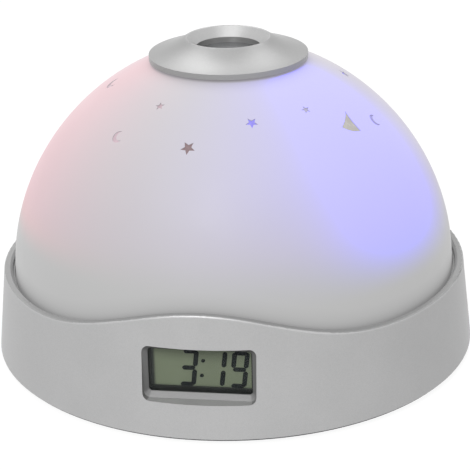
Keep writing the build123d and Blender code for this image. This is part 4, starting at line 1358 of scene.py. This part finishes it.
@dataclass
class DisplayStack:
    """The display behind its clear pane, and the dark segments of the time on it."""

    text: str = "3:19"
    lefts: tuple[float, ...] = (-4.67 * MM, 0.0, 1.59 * MM, 6.44 * MM)
    colon_middle: float = 0.25 * MM
    colon_rise: float = 1.79 * MM
    colon_radius: float = 0.45 * MM
    colon_steps: int = 24
    digit_width: float = 3.8 * MM
    digit_height: float = 8.95 * MM
    digit_bottom: float = 11.0 * MM
    stroke: float = 1.05 * MM
    blunting: float = 0.14
    overlap: float = 0.36
    joint_gap: float = 0.16 * MM
    slant: float = 6.4
    ink_height: float = 0.04 * MM
    # Segments that are on, as a to g: top, the right side downwards, bottom, the left side upwards, middle
    lit: ClassVar[dict[str, str]] = {"1": "bc", "3": "abcdg", "9": "abcdfg"}

    def bar(self, length: float) -> list[Point2]:
        """Outline of a segment along x with mitred ends, blunted a little.

        Args:
            length: from tip to tip, before they are blunted.

        Returns:
            Its corners in order.
        """
        end, half, blunt = length / 2, self.stroke / 2, self.stroke * self.blunting
        quarter = [(end - half, -half), (end - blunt, -blunt), (end - blunt, blunt), (end - half, half)]
        return quarter + [(-x, y) for x, y in reversed(quarter)]

    def segments(self) -> list[tuple[float, float, SegmentForm]]:
        """Finds the lit segments and the colon's dots.

        Returns:
            For each one x and z of its middle, and its form.
        """
        places = []
        half, arm = self.stroke / 2, self.digit_height / 2
        middle = self.digit_bottom + arm
        for sign, left in zip(self.text, self.lefts):
            if sign == ":":
                rises = (-self.colon_rise, self.colon_rise)
                places += [(self.colon_middle, middle + rise, SegmentForm.DOT) for rise in rises]
                continue
            right = left + self.digit_width
            centre, rise = (left + right) / 2, arm / 2
            spots = {
                "a": (centre, middle + arm - half, SegmentForm.ACROSS),
                "b": (right - half, middle + rise, SegmentForm.UPRIGHT),
                "c": (right - half, middle - rise, SegmentForm.UPRIGHT),
                "d": (centre, middle - arm + half, SegmentForm.ACROSS),
                "e": (left + half, middle - rise, SegmentForm.UPRIGHT),
                "f": (left + half, middle + rise, SegmentForm.UPRIGHT),
                "g": (centre, middle, SegmentForm.ACROSS),
            }
            places += [spots[name] for name in self.lit[sign]]
        return places

    def build(self) -> None:
        """Makes the segments and dresses the display, its holder and its pane."""
        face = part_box("lcd_panel")[0].y
        ends = 2 * self.overlap * self.stroke - 2 * self.joint_gap
        across = self.bar(self.digit_width - self.stroke + ends)
        upright = quarter_turned(self.bar((self.digit_height - self.stroke + ends) / 2 - self.joint_gap), 1)
        dot = circle(self.colon_radius, self.colon_steps)
        places = self.segments()
        points = point_mesh([(x, z, 0) for x, z, _ in places], form=[form.value for _, _, form in places])
        forms = [prism(outline, 0, self.ink_height) for outline in (across, upright, dot)]
        middle = self.digit_bottom + self.digit_height / 2

        def slant(recipe: Recipe, placed: Socket) -> Socket:
            """Leans the segments and stands them up on the display's face.

            Args:
                recipe: the digits' recipe.
                placed: the segments, flat and upright.

            Returns:
                The segments in place.
            """
            graph = recipe.graph
            lean = recipe.size("Slant", math.tan(math.radians(self.slant)))
            solid = graph.out("GeometryNodeRealizeInstances", {"Geometry": placed})
            place = graph.out("GeometryNodeInputPosition")
            x, z, depth = graph.put("ShaderNodeSeparateXYZ", {0: place}).outputs
            along = graph.math("MULTIPLY_ADD", graph.minus(z, middle), lean, x)
            stood = graph.vector(along, graph.minus(face, depth), z)
            return graph.out("GeometryNodeSetPosition", {"Geometry": solid, "Position": stood})

        digits = scatter("lcd_digits", forms, points, LCD_INK, after=slant)
        hand_over(smooth(digits), Body.CLOCK, Slot.LCD)
        dress(LCD_GROUND, "lcd_panel")
        dress(HOLDER, "lcd_holder")
        dress(PANE, "display_window")
        dress(ZEBRA, "zebra_strips")


@dataclass
class Casing:
    """The painted ring, its buttons at the back and the cap on the dome."""

    recess_width: float = 24.9 * MM
    recess_height: float = 12.5 * MM
    recess_middle: float = 15.55 * MM
    slack: float = 0.1 * MM
    wall_normal: float = 0.97
    sill_normal: float = 0.9
    rim_rise: float = 9.5 * MM
    rim_normal: float = 0.8
    crater_normal: float = 0.3

    def recess(self) -> FaceTest:
        """Picks the sides of the display's recess in the ring, which get painted shade.

        Returns:
            The test for a face.
        """
        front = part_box("display_window")[0].y
        width, height = self.recess_width / 2 + self.slack, self.recess_height / 2 + self.slack

        def chosen(face: bpy.types.MeshPolygon) -> bool:
            """Whether a face is in the opening and isn't the ring's own wall.

            Args:
                face: a face of the ring.

            Returns:
                Whether it is.
            """
            middle = face.center
            return (abs(middle.x) < width and abs(middle.z - self.recess_middle) < height
                    and middle.y < front and outwardness(face) < self.wall_normal)

        return chosen

    def sill(self) -> FaceTest:
        """Picks the flat bottom of the recess, which gets painted shade, lighter than on its sides.

        Returns:
            The test for a face.
        """
        inside = self.recess()
        top = self.recess_middle - self.recess_height / 2 + self.slack
        return lambda face: inside(face) and face.normal.z > self.sill_normal and face.center.z < top

    def rim(self) -> FaceTest:
        """Picks the top of the ring's rim, which gets painted shade."""
        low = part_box("base_ring")[1].z - self.rim_rise
        return lambda face: face.center.z > low and face.normal.z > self.rim_normal

    def crater(self) -> FaceTest:
        """Picks the sloping wall of the cap's crater, which gets painted light."""
        limit = self.crater_normal
        return lambda face: outwardness(face) < -limit and face.normal.z > limit

    def build(self) -> None:
        """Dresses the painted pieces, the lens and what hangs under the cap."""
        dress(SILVER, "base_ring")
        # Painted shade: darker copies of the silver paint on the recess's sides and, a little lighter, on
        # its floor
        dress_faces(SILVER_SHADE, "base_ring", self.recess())
        dress_faces(SILVER_SILL_SHADE, "base_ring", self.sill())
        # Painted shade: a darker copy of the silver paint on the rim's top
        dress_faces(SILVER_RIM_SHADE, "base_ring", self.rim())
        dress(BUTTON, "button_down", "button_up", "button_set", "button_mode")
        dress(SILVER_CAP, "top_cap")
        # Painted light: a lighter copy of the cap's paint on the crater's wall
        dress_faces(SILVER_CRATER_LIT, "top_cap", self.crater())
        dress(LENS, "projector_lens")
        dress(BLACK, "projector_tube")
        dress(WHITE, "cap_retainer", "guide_sleeve", "light_switch_plunger", "inner_deck")
        dress(FILM, "pattern_slide")


@dataclass(frozen=True)
class Screw:
    """The size of a screw, its head above the seat and its shank below."""

    head_radius: float
    head_height: float
    shank_radius: float
    length: float


@dataclass(frozen=True)
class ScrewRow:
    """Screws of one size that stand for one node: where their heads sit and which way they face."""

    node: str
    seats: tuple[Point3, ...]
    facing: Vector
    screw: Screw


@dataclass
class Fasteners:
    """All screws, with cross recesses and thread."""

    cover: Screw = Screw(2.8 * MM, 1.8 * MM, 1.2 * MM, 10 * MM)
    board: Screw = Screw(2 * MM, 1.3 * MM, 1 * MM, 4 * MM)
    post: Screw = Screw(2 * MM, 1.3 * MM, 1 * MM, 6 * MM)
    cover_reach: float = 45 * MM
    head: tuple[Point2, ...] = ((0, 1), (0.62, 1), (0.88, 0.82), (1, 0.45), (1, 0))
    core: float = 0.8
    tip: float = 0.4
    thread_start: float = 0.3 * MM
    thread_pitch: float = 0.8 * MM
    cross_width: float = 0.34
    cross_reach: float = 1.25
    recess: float = 0.6
    steps: int = 40
    turn: float = 0.7

    def form(self, screw: Screw) -> bpy.types.Mesh:
        """One screw with its head above z = 0, and a cross cut into the head.

        Args:
            screw: its size.

        Returns:
            The mesh.
        """
        radius, top = screw.head_radius, screw.head_height
        shank, pitch = screw.shank_radius, self.thread_pitch
        profile = [(x * radius, z * top) for x, z in self.head] + [(shank * self.core, 0.0)]
        for turn in range(int((screw.length - 2 * self.thread_start) / pitch)):
            start = -self.thread_start - turn * pitch
            profile += [(shank * self.core, start), (shank, start - pitch / 2)]
        profile += [(shank * self.tip, -screw.length), (0, -screw.length)]
        piece = smooth(add_object("screw", lathe(profile, self.steps)))
        half, arm = self.cross_width * radius / 2, self.cross_reach * radius / 2
        quarter = [(half, half), (half, arm), (-half, arm)]
        cross = [point for turn in range(4) for point in quarter_turned(quarter, turn)]
        carve(piece, add_object("cross", prism(cross, top * (1 - self.recess), top * 2)))
        mesh = piece.data
        bpy.data.objects.remove(piece)
        return mesh

    def rows(self) -> list[ScrewRow]:
        """The four rows of screws, placed by the frame's boxes.

        Returns:
            The rows.
        """
        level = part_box("cover_screws")[0].z + self.cover.head_height
        seats = square_corners(self.cover_reach * math.sqrt(0.5), level)
        found = [ScrewRow("cover_screws", seats, -UP, self.cover)]
        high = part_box("led_board_screws")[1]
        seats = square_corners(high.x - self.board.head_radius, high.z - self.board.head_height)
        found.append(ScrewRow("led_board_screws", seats, UP, self.board))
        for node in ("main_board_screws", "button_board_screws"):
            low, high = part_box(node)
            reach, level = high.x - self.post.head_radius, (low.z + high.z) / 2
            seats = tuple((x * reach, high.y - self.post.head_height, level) for x in (-1, 1))
            found.append(ScrewRow(node, seats, Vector((0, 1, 0)), self.post))
        return found

    def build(self) -> None:
        """Places each row's screws, with a different turn of the cross at each."""
        for row in self.rows():
            turns = [self.turn * (number + 1) for number in range(len(row.seats))]

            def face(recipe: Recipe, row: ScrewRow = row) -> Socket:
                """Turns the head to the side that the screws face, and then about its own axis.

                Args:
                    recipe: the row's recipe.
                    row: the row.

                Returns:
                    The rotation.
                """
                values = {"Vector": recipe.size("Facing", row.facing)}
                laid = recipe.graph.out("FunctionNodeAlignRotationToVector", values, axis="Z")
                return recipe.turned(laid)

            points = point_mesh(row.seats, turn=turns)
            piece = scatter(row.node + "_cross_head", [self.form(row.screw)], points, ZINC, rotate=face)
            hand_over(smooth(piece), Body.CLOCK, Slot.SCREW, row.node)


@dataclass
class Springs:
    """The coil springs, wound by one rule."""

    wire: float = 0.35 * MM
    wire_sides: int = 10
    return_turns: float = 4.0
    return_radius: float = 9.2 * MM
    press: float = 0.5 * MM
    cell_wire: float = 0.3 * MM
    cell_turns: float = 4.5
    cell_start: float = 3.2 * MM
    cell_end: float = 2.0 * MM
    cell_reach: float = 4.6 * MM
    plate: float = 8.0 * MM
    plate_thickness: float = 0.4 * MM
    cell_pitch: float = 10.7 * MM
    cell_count: int = 3
    turn_steps: int = 48
    crease: float = 60.0

    def coil(self, name: str, turns: float, start: float, end: float, height: float,
             wire: float) -> bpy.types.Object:
        """A round wire wound about z, from radius start at z = 0 to radius end at the given height.

        Args:
            name: the piece's name.
            turns: how often the wire goes round.
            start: radius at the bottom.
            end: radius at the top.
            height: how far the wire climbs.
            wire: the wire's radius.

        Returns:
            The coil.
        """
        recipe = Recipe(name)
        graph = recipe.graph
        steps, sides = recipe.sizes(self, "turn_steps", "wire_sides")
        values = {
            "Resolution": steps,
            "Rotations": recipe.size("Turns", turns),
            "Start Radius": recipe.size("Start radius", start),
            "End Radius": recipe.size("End radius", end),
            "Height": recipe.size("Height", height),
        }
        path = graph.out("GeometryNodeCurveSpiral", values)
        values = {"Resolution": sides, "Radius": recipe.size("Wire", wire)}
        section = graph.out("GeometryNodeCurvePrimitiveCircle", values)
        values = {"Curve": path, "Profile Curve": section, "Fill Caps": True}
        return recipe.run(graph.out("GeometryNodeCurveToMesh", values), NICKEL)

    def return_spring(self) -> None:
        """The spring under the cap's tube."""
        low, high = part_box("return_spring")
        room = high.z - low.z
        spring = self.coil("return_spring_coil", self.return_turns, self.return_radius, self.return_radius,
                           room - 2 * self.wire, self.wire)
        spring.data.transform(Matrix.Translation((0, 0, low.z + self.wire)))
        hand_over(smooth(spring, self.crease), Body.CLOCK, Slot.METAL, "return_spring")
        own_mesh(spring)

    def cell_springs(self) -> None:
        """The three springs at the cells' flat ends, each wound on its plate."""
        low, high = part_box("battery_springs")
        reach = self.cell_reach - 2 * self.cell_wire
        coil = self.coil("cell_coil", self.cell_turns, self.cell_start, self.cell_end, reach, self.cell_wire)
        coil.data.transform(Matrix.Translation((0, 0, self.plate_thickness + self.cell_wire)))
        half = self.plate / 2
        plate = prism(rectangle(-half, half, -half, half), 0, self.plate_thickness)
        form = bmesh.new()
        form.from_mesh(coil.data)
        form.from_mesh(plate)
        mesh = as_mesh(form, "cell_spring")
        bpy.data.objects.remove(coil)
        level = (low.z + high.z) / 2
        points, turns = [], []
        for index in range(self.cell_count):
            across = (index - (self.cell_count - 1) / 2) * self.cell_pitch
            front = index % 2 == 0
            points.append((across, low.y if front else high.y, level))
            turns.append(math.radians(-90 if front else 90))
        carried = point_mesh(points, turn=turns)
        piece = scatter("battery_spring_coils", [mesh], carried, NICKEL, rotate=tip_about_x)
        hand_over(smooth(piece, self.crease), Body.CLOCK, Slot.METAL, "battery_springs")

    def build(self) -> None:
        """Winds all springs."""
        self.return_spring()
        self.cell_springs()


def tip_about_x(recipe: Recipe) -> Socket:
    """Lays forms down along y, by the angle that each point carries."""
    return recipe.turn((1, 0, 0))


@dataclass
class Cells:
    """The three battery cells, with rolled ends and a band at the nub's end."""

    radius: float = 5.25 * MM
    length: float = 43.5 * MM
    nub_radius: float = 1.9 * MM
    nub_length: float = 1.0 * MM
    roll: float = 0.5 * MM
    roll_edge: float = 0.1 * MM
    step: float = 0.3 * MM
    step_inset: float = 1.2 * MM
    nub_edge: float = 0.2 * MM
    pitch: float = 10.7 * MM
    steps: int = 64

    def cell(self) -> bpy.types.Mesh:
        """One cell along z, its flat end at z = 0.

        Returns:
            The mesh.
        """
        radius, roll, nub = self.radius, self.roll, self.nub_radius
        top, end = self.length, self.length + self.nub_length
        flat_end = [(0, 0), (radius - 2 * roll, 0), (radius - roll, self.roll_edge), (radius, roll)]
        shoulder = [(radius, top - roll), (radius - roll, top), (radius - 2 * roll, top),
                    (radius - self.step_inset, top - self.step), (nub + self.step, top - self.step)]
        nub_end = [(nub, top), (nub, end - self.nub_edge), (nub - self.nub_edge, end), (0, end)]
        return lathe(flat_end + shoulder + nub_end, self.steps)

    def build(self) -> None:
        """Lays the cells side by side, each the other way round than its neighbour."""
        low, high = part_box("batteries")
        level = (low.z + high.z) / 2
        ways = {-1: 1.0, 0: -1.0, 1: 1.0}
        points = [(place * self.pitch, low.y if way > 0 else high.y, level) for place, way in ways.items()]
        turns = [math.radians(-90 * way) for way in ways.values()]
        carried = point_mesh(points, turn=turns, facing=ways.values())
        piece = scatter("battery_cells", [self.cell()], carried, JACKET, rotate=tip_about_x)
        self.settle(piece, low.y, high.y)
        hand_over(smooth(piece), Body.CLOCK, Slot.JACKET, "batteries")

    def settle(self, piece: bpy.types.Object, front: float, rear: float) -> None:
        """Moves each cell along y so that its nub ends where the frame's does.

        Args:
            piece: all cells.
            front: y of the front end of the frame's cells.
            rear: y of their rear end.
        """
        facing = piece.data.attributes["facing"]
        for vertex, way in zip(piece.data.vertices, facing.data):
            end = rear if way.value > 0 else front
            start = front if way.value > 0 else rear
            vertex.co.y += end - way.value * (self.length + self.nub_length) - start


@dataclass
class Underside:
    """The bottom cover and what shows in it."""

    recess_radius: float = 6.0 * MM
    recess_depth: float = 0.6 * MM
    rib_pitch: float = 1.15 * MM
    rib_width: float = 0.5 * MM
    rib_rise: float = 0.4 * MM
    rib_margin: float = 0.8 * MM
    rib_steps: int = 8
    rib_count: int = 4
    knob_rib_rise: float = 0.22 * MM
    knob_margin: float = 0.3 * MM

    def ribs(self, name: str, places: Sequence[Point3], lengths: Sequence[float], rise: float,
             finish: Finish) -> bpy.types.Object:
        """Ridges along x with rounded crests towards -z.

        Args:
            name: the piece's name.
            places: middle of each ridge's foot.
            lengths: length of each ridge.
            rise: how far they stand out, downwards.
            finish: their finish.

        Returns:
            All ridges as one piece.
        """
        half = self.rib_width / 2
        turns = [math.pi * step / self.rib_steps for step in range(self.rib_steps + 1)]
        rib = prism([(half * math.cos(turn), -rise * math.sin(turn)) for turn in turns], -0.5, 0.5)
        # The outline's x and y become y and z
        rib.transform(Matrix(((0, 0, 1, 0), (1, 0, 0, 0), (0, 1, 0, 0), (0, 0, 0, 1))))
        points = point_mesh(places, width=lengths)
        return smooth(scatter(name, [rib], points, finish, lengthen=True))

    def door_ribs(self) -> None:
        """Ridges in the thumb recess of the battery door, as long as the recess is wide there."""
        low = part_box("battery_door")[0]
        places, lengths = [], []
        for number in range(1, self.rib_count + 1):
            off = number * self.rib_pitch
            chord = 2 * math.sqrt(self.recess_radius**2 - off**2)
            places.append((0, low.y + off, low.z + self.recess_depth))
            lengths.append(chord - 2 * self.rib_margin)
        piece = self.ribs("battery_door_grip", places, lengths, self.rib_rise, DARK)
        hand_over(piece, Body.DOOR, Slot.DARK)

    def knob_ribs(self) -> None:
        """Ridges on the slide switch's knob."""
        low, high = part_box("mode_slider")
        middle, length = (low.x + high.x) / 2, high.x - low.x - 2 * self.knob_margin
        pitch = (high.y - low.y) / self.rib_count
        places = [(middle, low.y + pitch * (number + 0.5), low.z) for number in range(self.rib_count)]
        piece = self.ribs("mode_slider_grip", places, [length] * len(places), self.knob_rib_rise, BLACK)
        hand_over(piece, Body.SLIDER, Slot.BLACK)

    def build(self) -> None:
        """Dresses the underside and adds its ridges."""
        dress(DARK, "bottom_cover", "battery_door")
        dress(RUBBER, "rubber_feet")
        dress(BLACK, "mode_slider")
        dress(NICKEL, "battery_contacts")
        self.door_ribs()
        self.knob_ribs()


@dataclass
class Electronics:
    """The boards and what is on them."""

    def build(self) -> None:
        """Dresses the boards, the switches, the sounder and the emitters."""
        dress(BOARD, "main_board", "led_board", "button_board")
        dress(RESIN, "clock_chip", "light_switch", "button_keys", "slide_switch", "buzzer")
        dress(NICKEL, "crystal")
        for node, finish in LED_FINISHES.items():
            dress(finish, node)


# ---------------------------------------------------------------- studio


@dataclass(frozen=True)
class Lamp:
    """A square lamp that points at the clock."""

    name: str
    place: Point3
    side: float
    power: float


@dataclass
class Studio:
    """The white table, the soft light and the camera."""

    azimuth: float = 8.5
    elevation: float = 22.29
    distance: float = 409.3 * MM
    aside: float = 0.457 * MM
    target_height: float = 25.71 * MM
    roll: float = 1.448
    focal_pixels: float = 1693.5
    picture_width: int = 470
    sensor: float = 36.0
    clip: Range = (0.01, 20.0)
    table_radius: float = 3.0
    table_steps: int = 96
    paper: Color = (0.82, 0.82, 0.82)
    paper_light: float = 1.08
    paper_share: float = 0.85
    ambient: float = 0.36
    lamps: tuple[Lamp, ...] = (
        Lamp("key_lamp", (-0.2, -0.95, 0.8), 0.45, 8.0),
        Lamp("top_lamp", (-0.04, -0.42, 1.05), 0.8, 3.0),
        Lamp("rear_left_lamp", (-0.32, 0.56, 0.88), 0.4, 1.8),
        Lamp("rear_right_lamp", (0.2, 0.62, 0.88), 0.4, 1.3),
        Lamp("fill_lamp", (0.9, -0.6, 0.45), 0.6, 1.0),
    )

    def table(self) -> None:
        """A round white table that keeps a soft shadow, and is open to view from below."""
        disc = bpy.data.meshes.new("table")
        corners = [(x, y, 0) for x, y in circle(self.table_radius, self.table_steps)]
        disc.from_pydata(corners, [], [range(self.table_steps)])
        floor = add_object("table", disc)
        made = bpy.data.materials.new("table_white")
        graph = empty_tree(made)
        paper = graph.out("ShaderNodeBsdfDiffuse", {"Color": (*self.paper, 1)})
        values = {"Color": WHITE_LIGHT, "Strength": self.paper_light}
        bright = graph.out("ShaderNodeEmission", values)
        share = graph.times(seen(graph), self.paper_share)
        top = graph.out("ShaderNodeMixShader", {0: share, 1: paper, 2: bright})
        under = graph.out("ShaderNodeBsdfTransparent")
        # From below it is clear, and for soft light too, so it throws none up at the clock
        below = graph.put("ShaderNodeNewGeometry").outputs["Backfacing"]
        soft = graph.put("ShaderNodeLightPath").outputs["Is Diffuse Ray"]
        values = {0: graph.larger(below, soft), 1: top, 2: under}
        mixed = graph.out("ShaderNodeMixShader", values)
        graph.put("ShaderNodeOutputMaterial", {"Surface": mixed})
        floor.data.materials.append(made)

    def sky(self) -> None:
        """White where it is seen, and plain soft light everywhere."""
        world = bpy.data.worlds.new("studio")
        bpy.context.scene.world = world
        graph = empty_tree(world)
        soft, white = (
            graph.out("ShaderNodeBackground", {"Color": WHITE_LIGHT, "Strength": strength})
            for strength in (self.ambient, 1.0)
        )
        mixed = graph.out("ShaderNodeMixShader", {0: seen(graph), 1: soft, 2: white})
        graph.put("ShaderNodeOutputWorld", {"Surface": mixed})

    def lights(self) -> None:
        """The lamps, each turned to the clock's middle."""
        middle = Vector((0, 0, self.target_height))
        for lamp in self.lamps:
            data = bpy.data.lights.new(lamp.name, "AREA")
            data.shape = "SQUARE"
            data.size = lamp.side
            data.energy = lamp.power
            made = bpy.data.objects.new(lamp.name, data)
            made.location = lamp.place
            made.rotation_euler = (middle - Vector(lamp.place)).to_track_quat("-Z", "Y").to_euler()
            bpy.context.scene.collection.objects.link(made)

    def camera(self) -> None:
        """The camera, a little to the right of the display and above it."""
        turn, rise = math.radians(self.azimuth), math.radians(self.elevation)
        right = Vector((math.cos(turn), math.sin(turn), 0))
        target = right * self.aside + Vector((0, 0, self.target_height))
        toward = Vector((math.sin(turn) * math.cos(rise), -math.cos(turn) * math.cos(rise), math.sin(rise)))
        data = bpy.data.cameras.new("camera")
        data.sensor_width = self.sensor
        data.lens = self.sensor * self.focal_pixels / self.picture_width
        data.clip_start, data.clip_end = self.clip
        made = bpy.data.objects.new("camera", data)
        look = (-toward).to_track_quat("-Z", "Y").to_matrix().to_4x4()
        lean = Matrix.Rotation(-math.radians(self.roll), 4, "Z")
        made.matrix_world = Matrix.Translation(target + toward * self.distance) @ look @ lean
        bpy.context.scene.collection.objects.link(made)
        bpy.context.scene.camera = made

    def build(self) -> None:
        """Sets the whole studio."""
        bpy.context.scene.view_settings.view_transform = "Standard"
        self.table()
        self.sky()
        self.lights()
        self.camera()


def seen(graph: Graph) -> Socket:
    """1 where a thing is seen, straight, mirrored or through glass, and 0 where it only gives light.

    Args:
        graph: the tree that asks.

    Returns:
        The number.
    """
    path = graph.put("ShaderNodeLightPath")
    rays = [path.outputs[name] for name in ("Is Camera Ray", "Is Glossy Ray", "Is Transmission Ray")]
    return graph.larger(graph.larger(rays[0], rays[1]), rays[2])


def main() -> None:
    """Builds the studio and the clock's sub-assemblies in order."""
    logging.basicConfig(level=logging.INFO, format="%(name)s: %(message)s")
    Studio().build()
    for kind in (Casing, Dome, DisplayStack, Fasteners, Springs, Cells, Underside, Electronics):
        part = kind()
        part.build()
        log.info("%s is done", type(part).__name__)


if __name__ == "__main__":
    main()
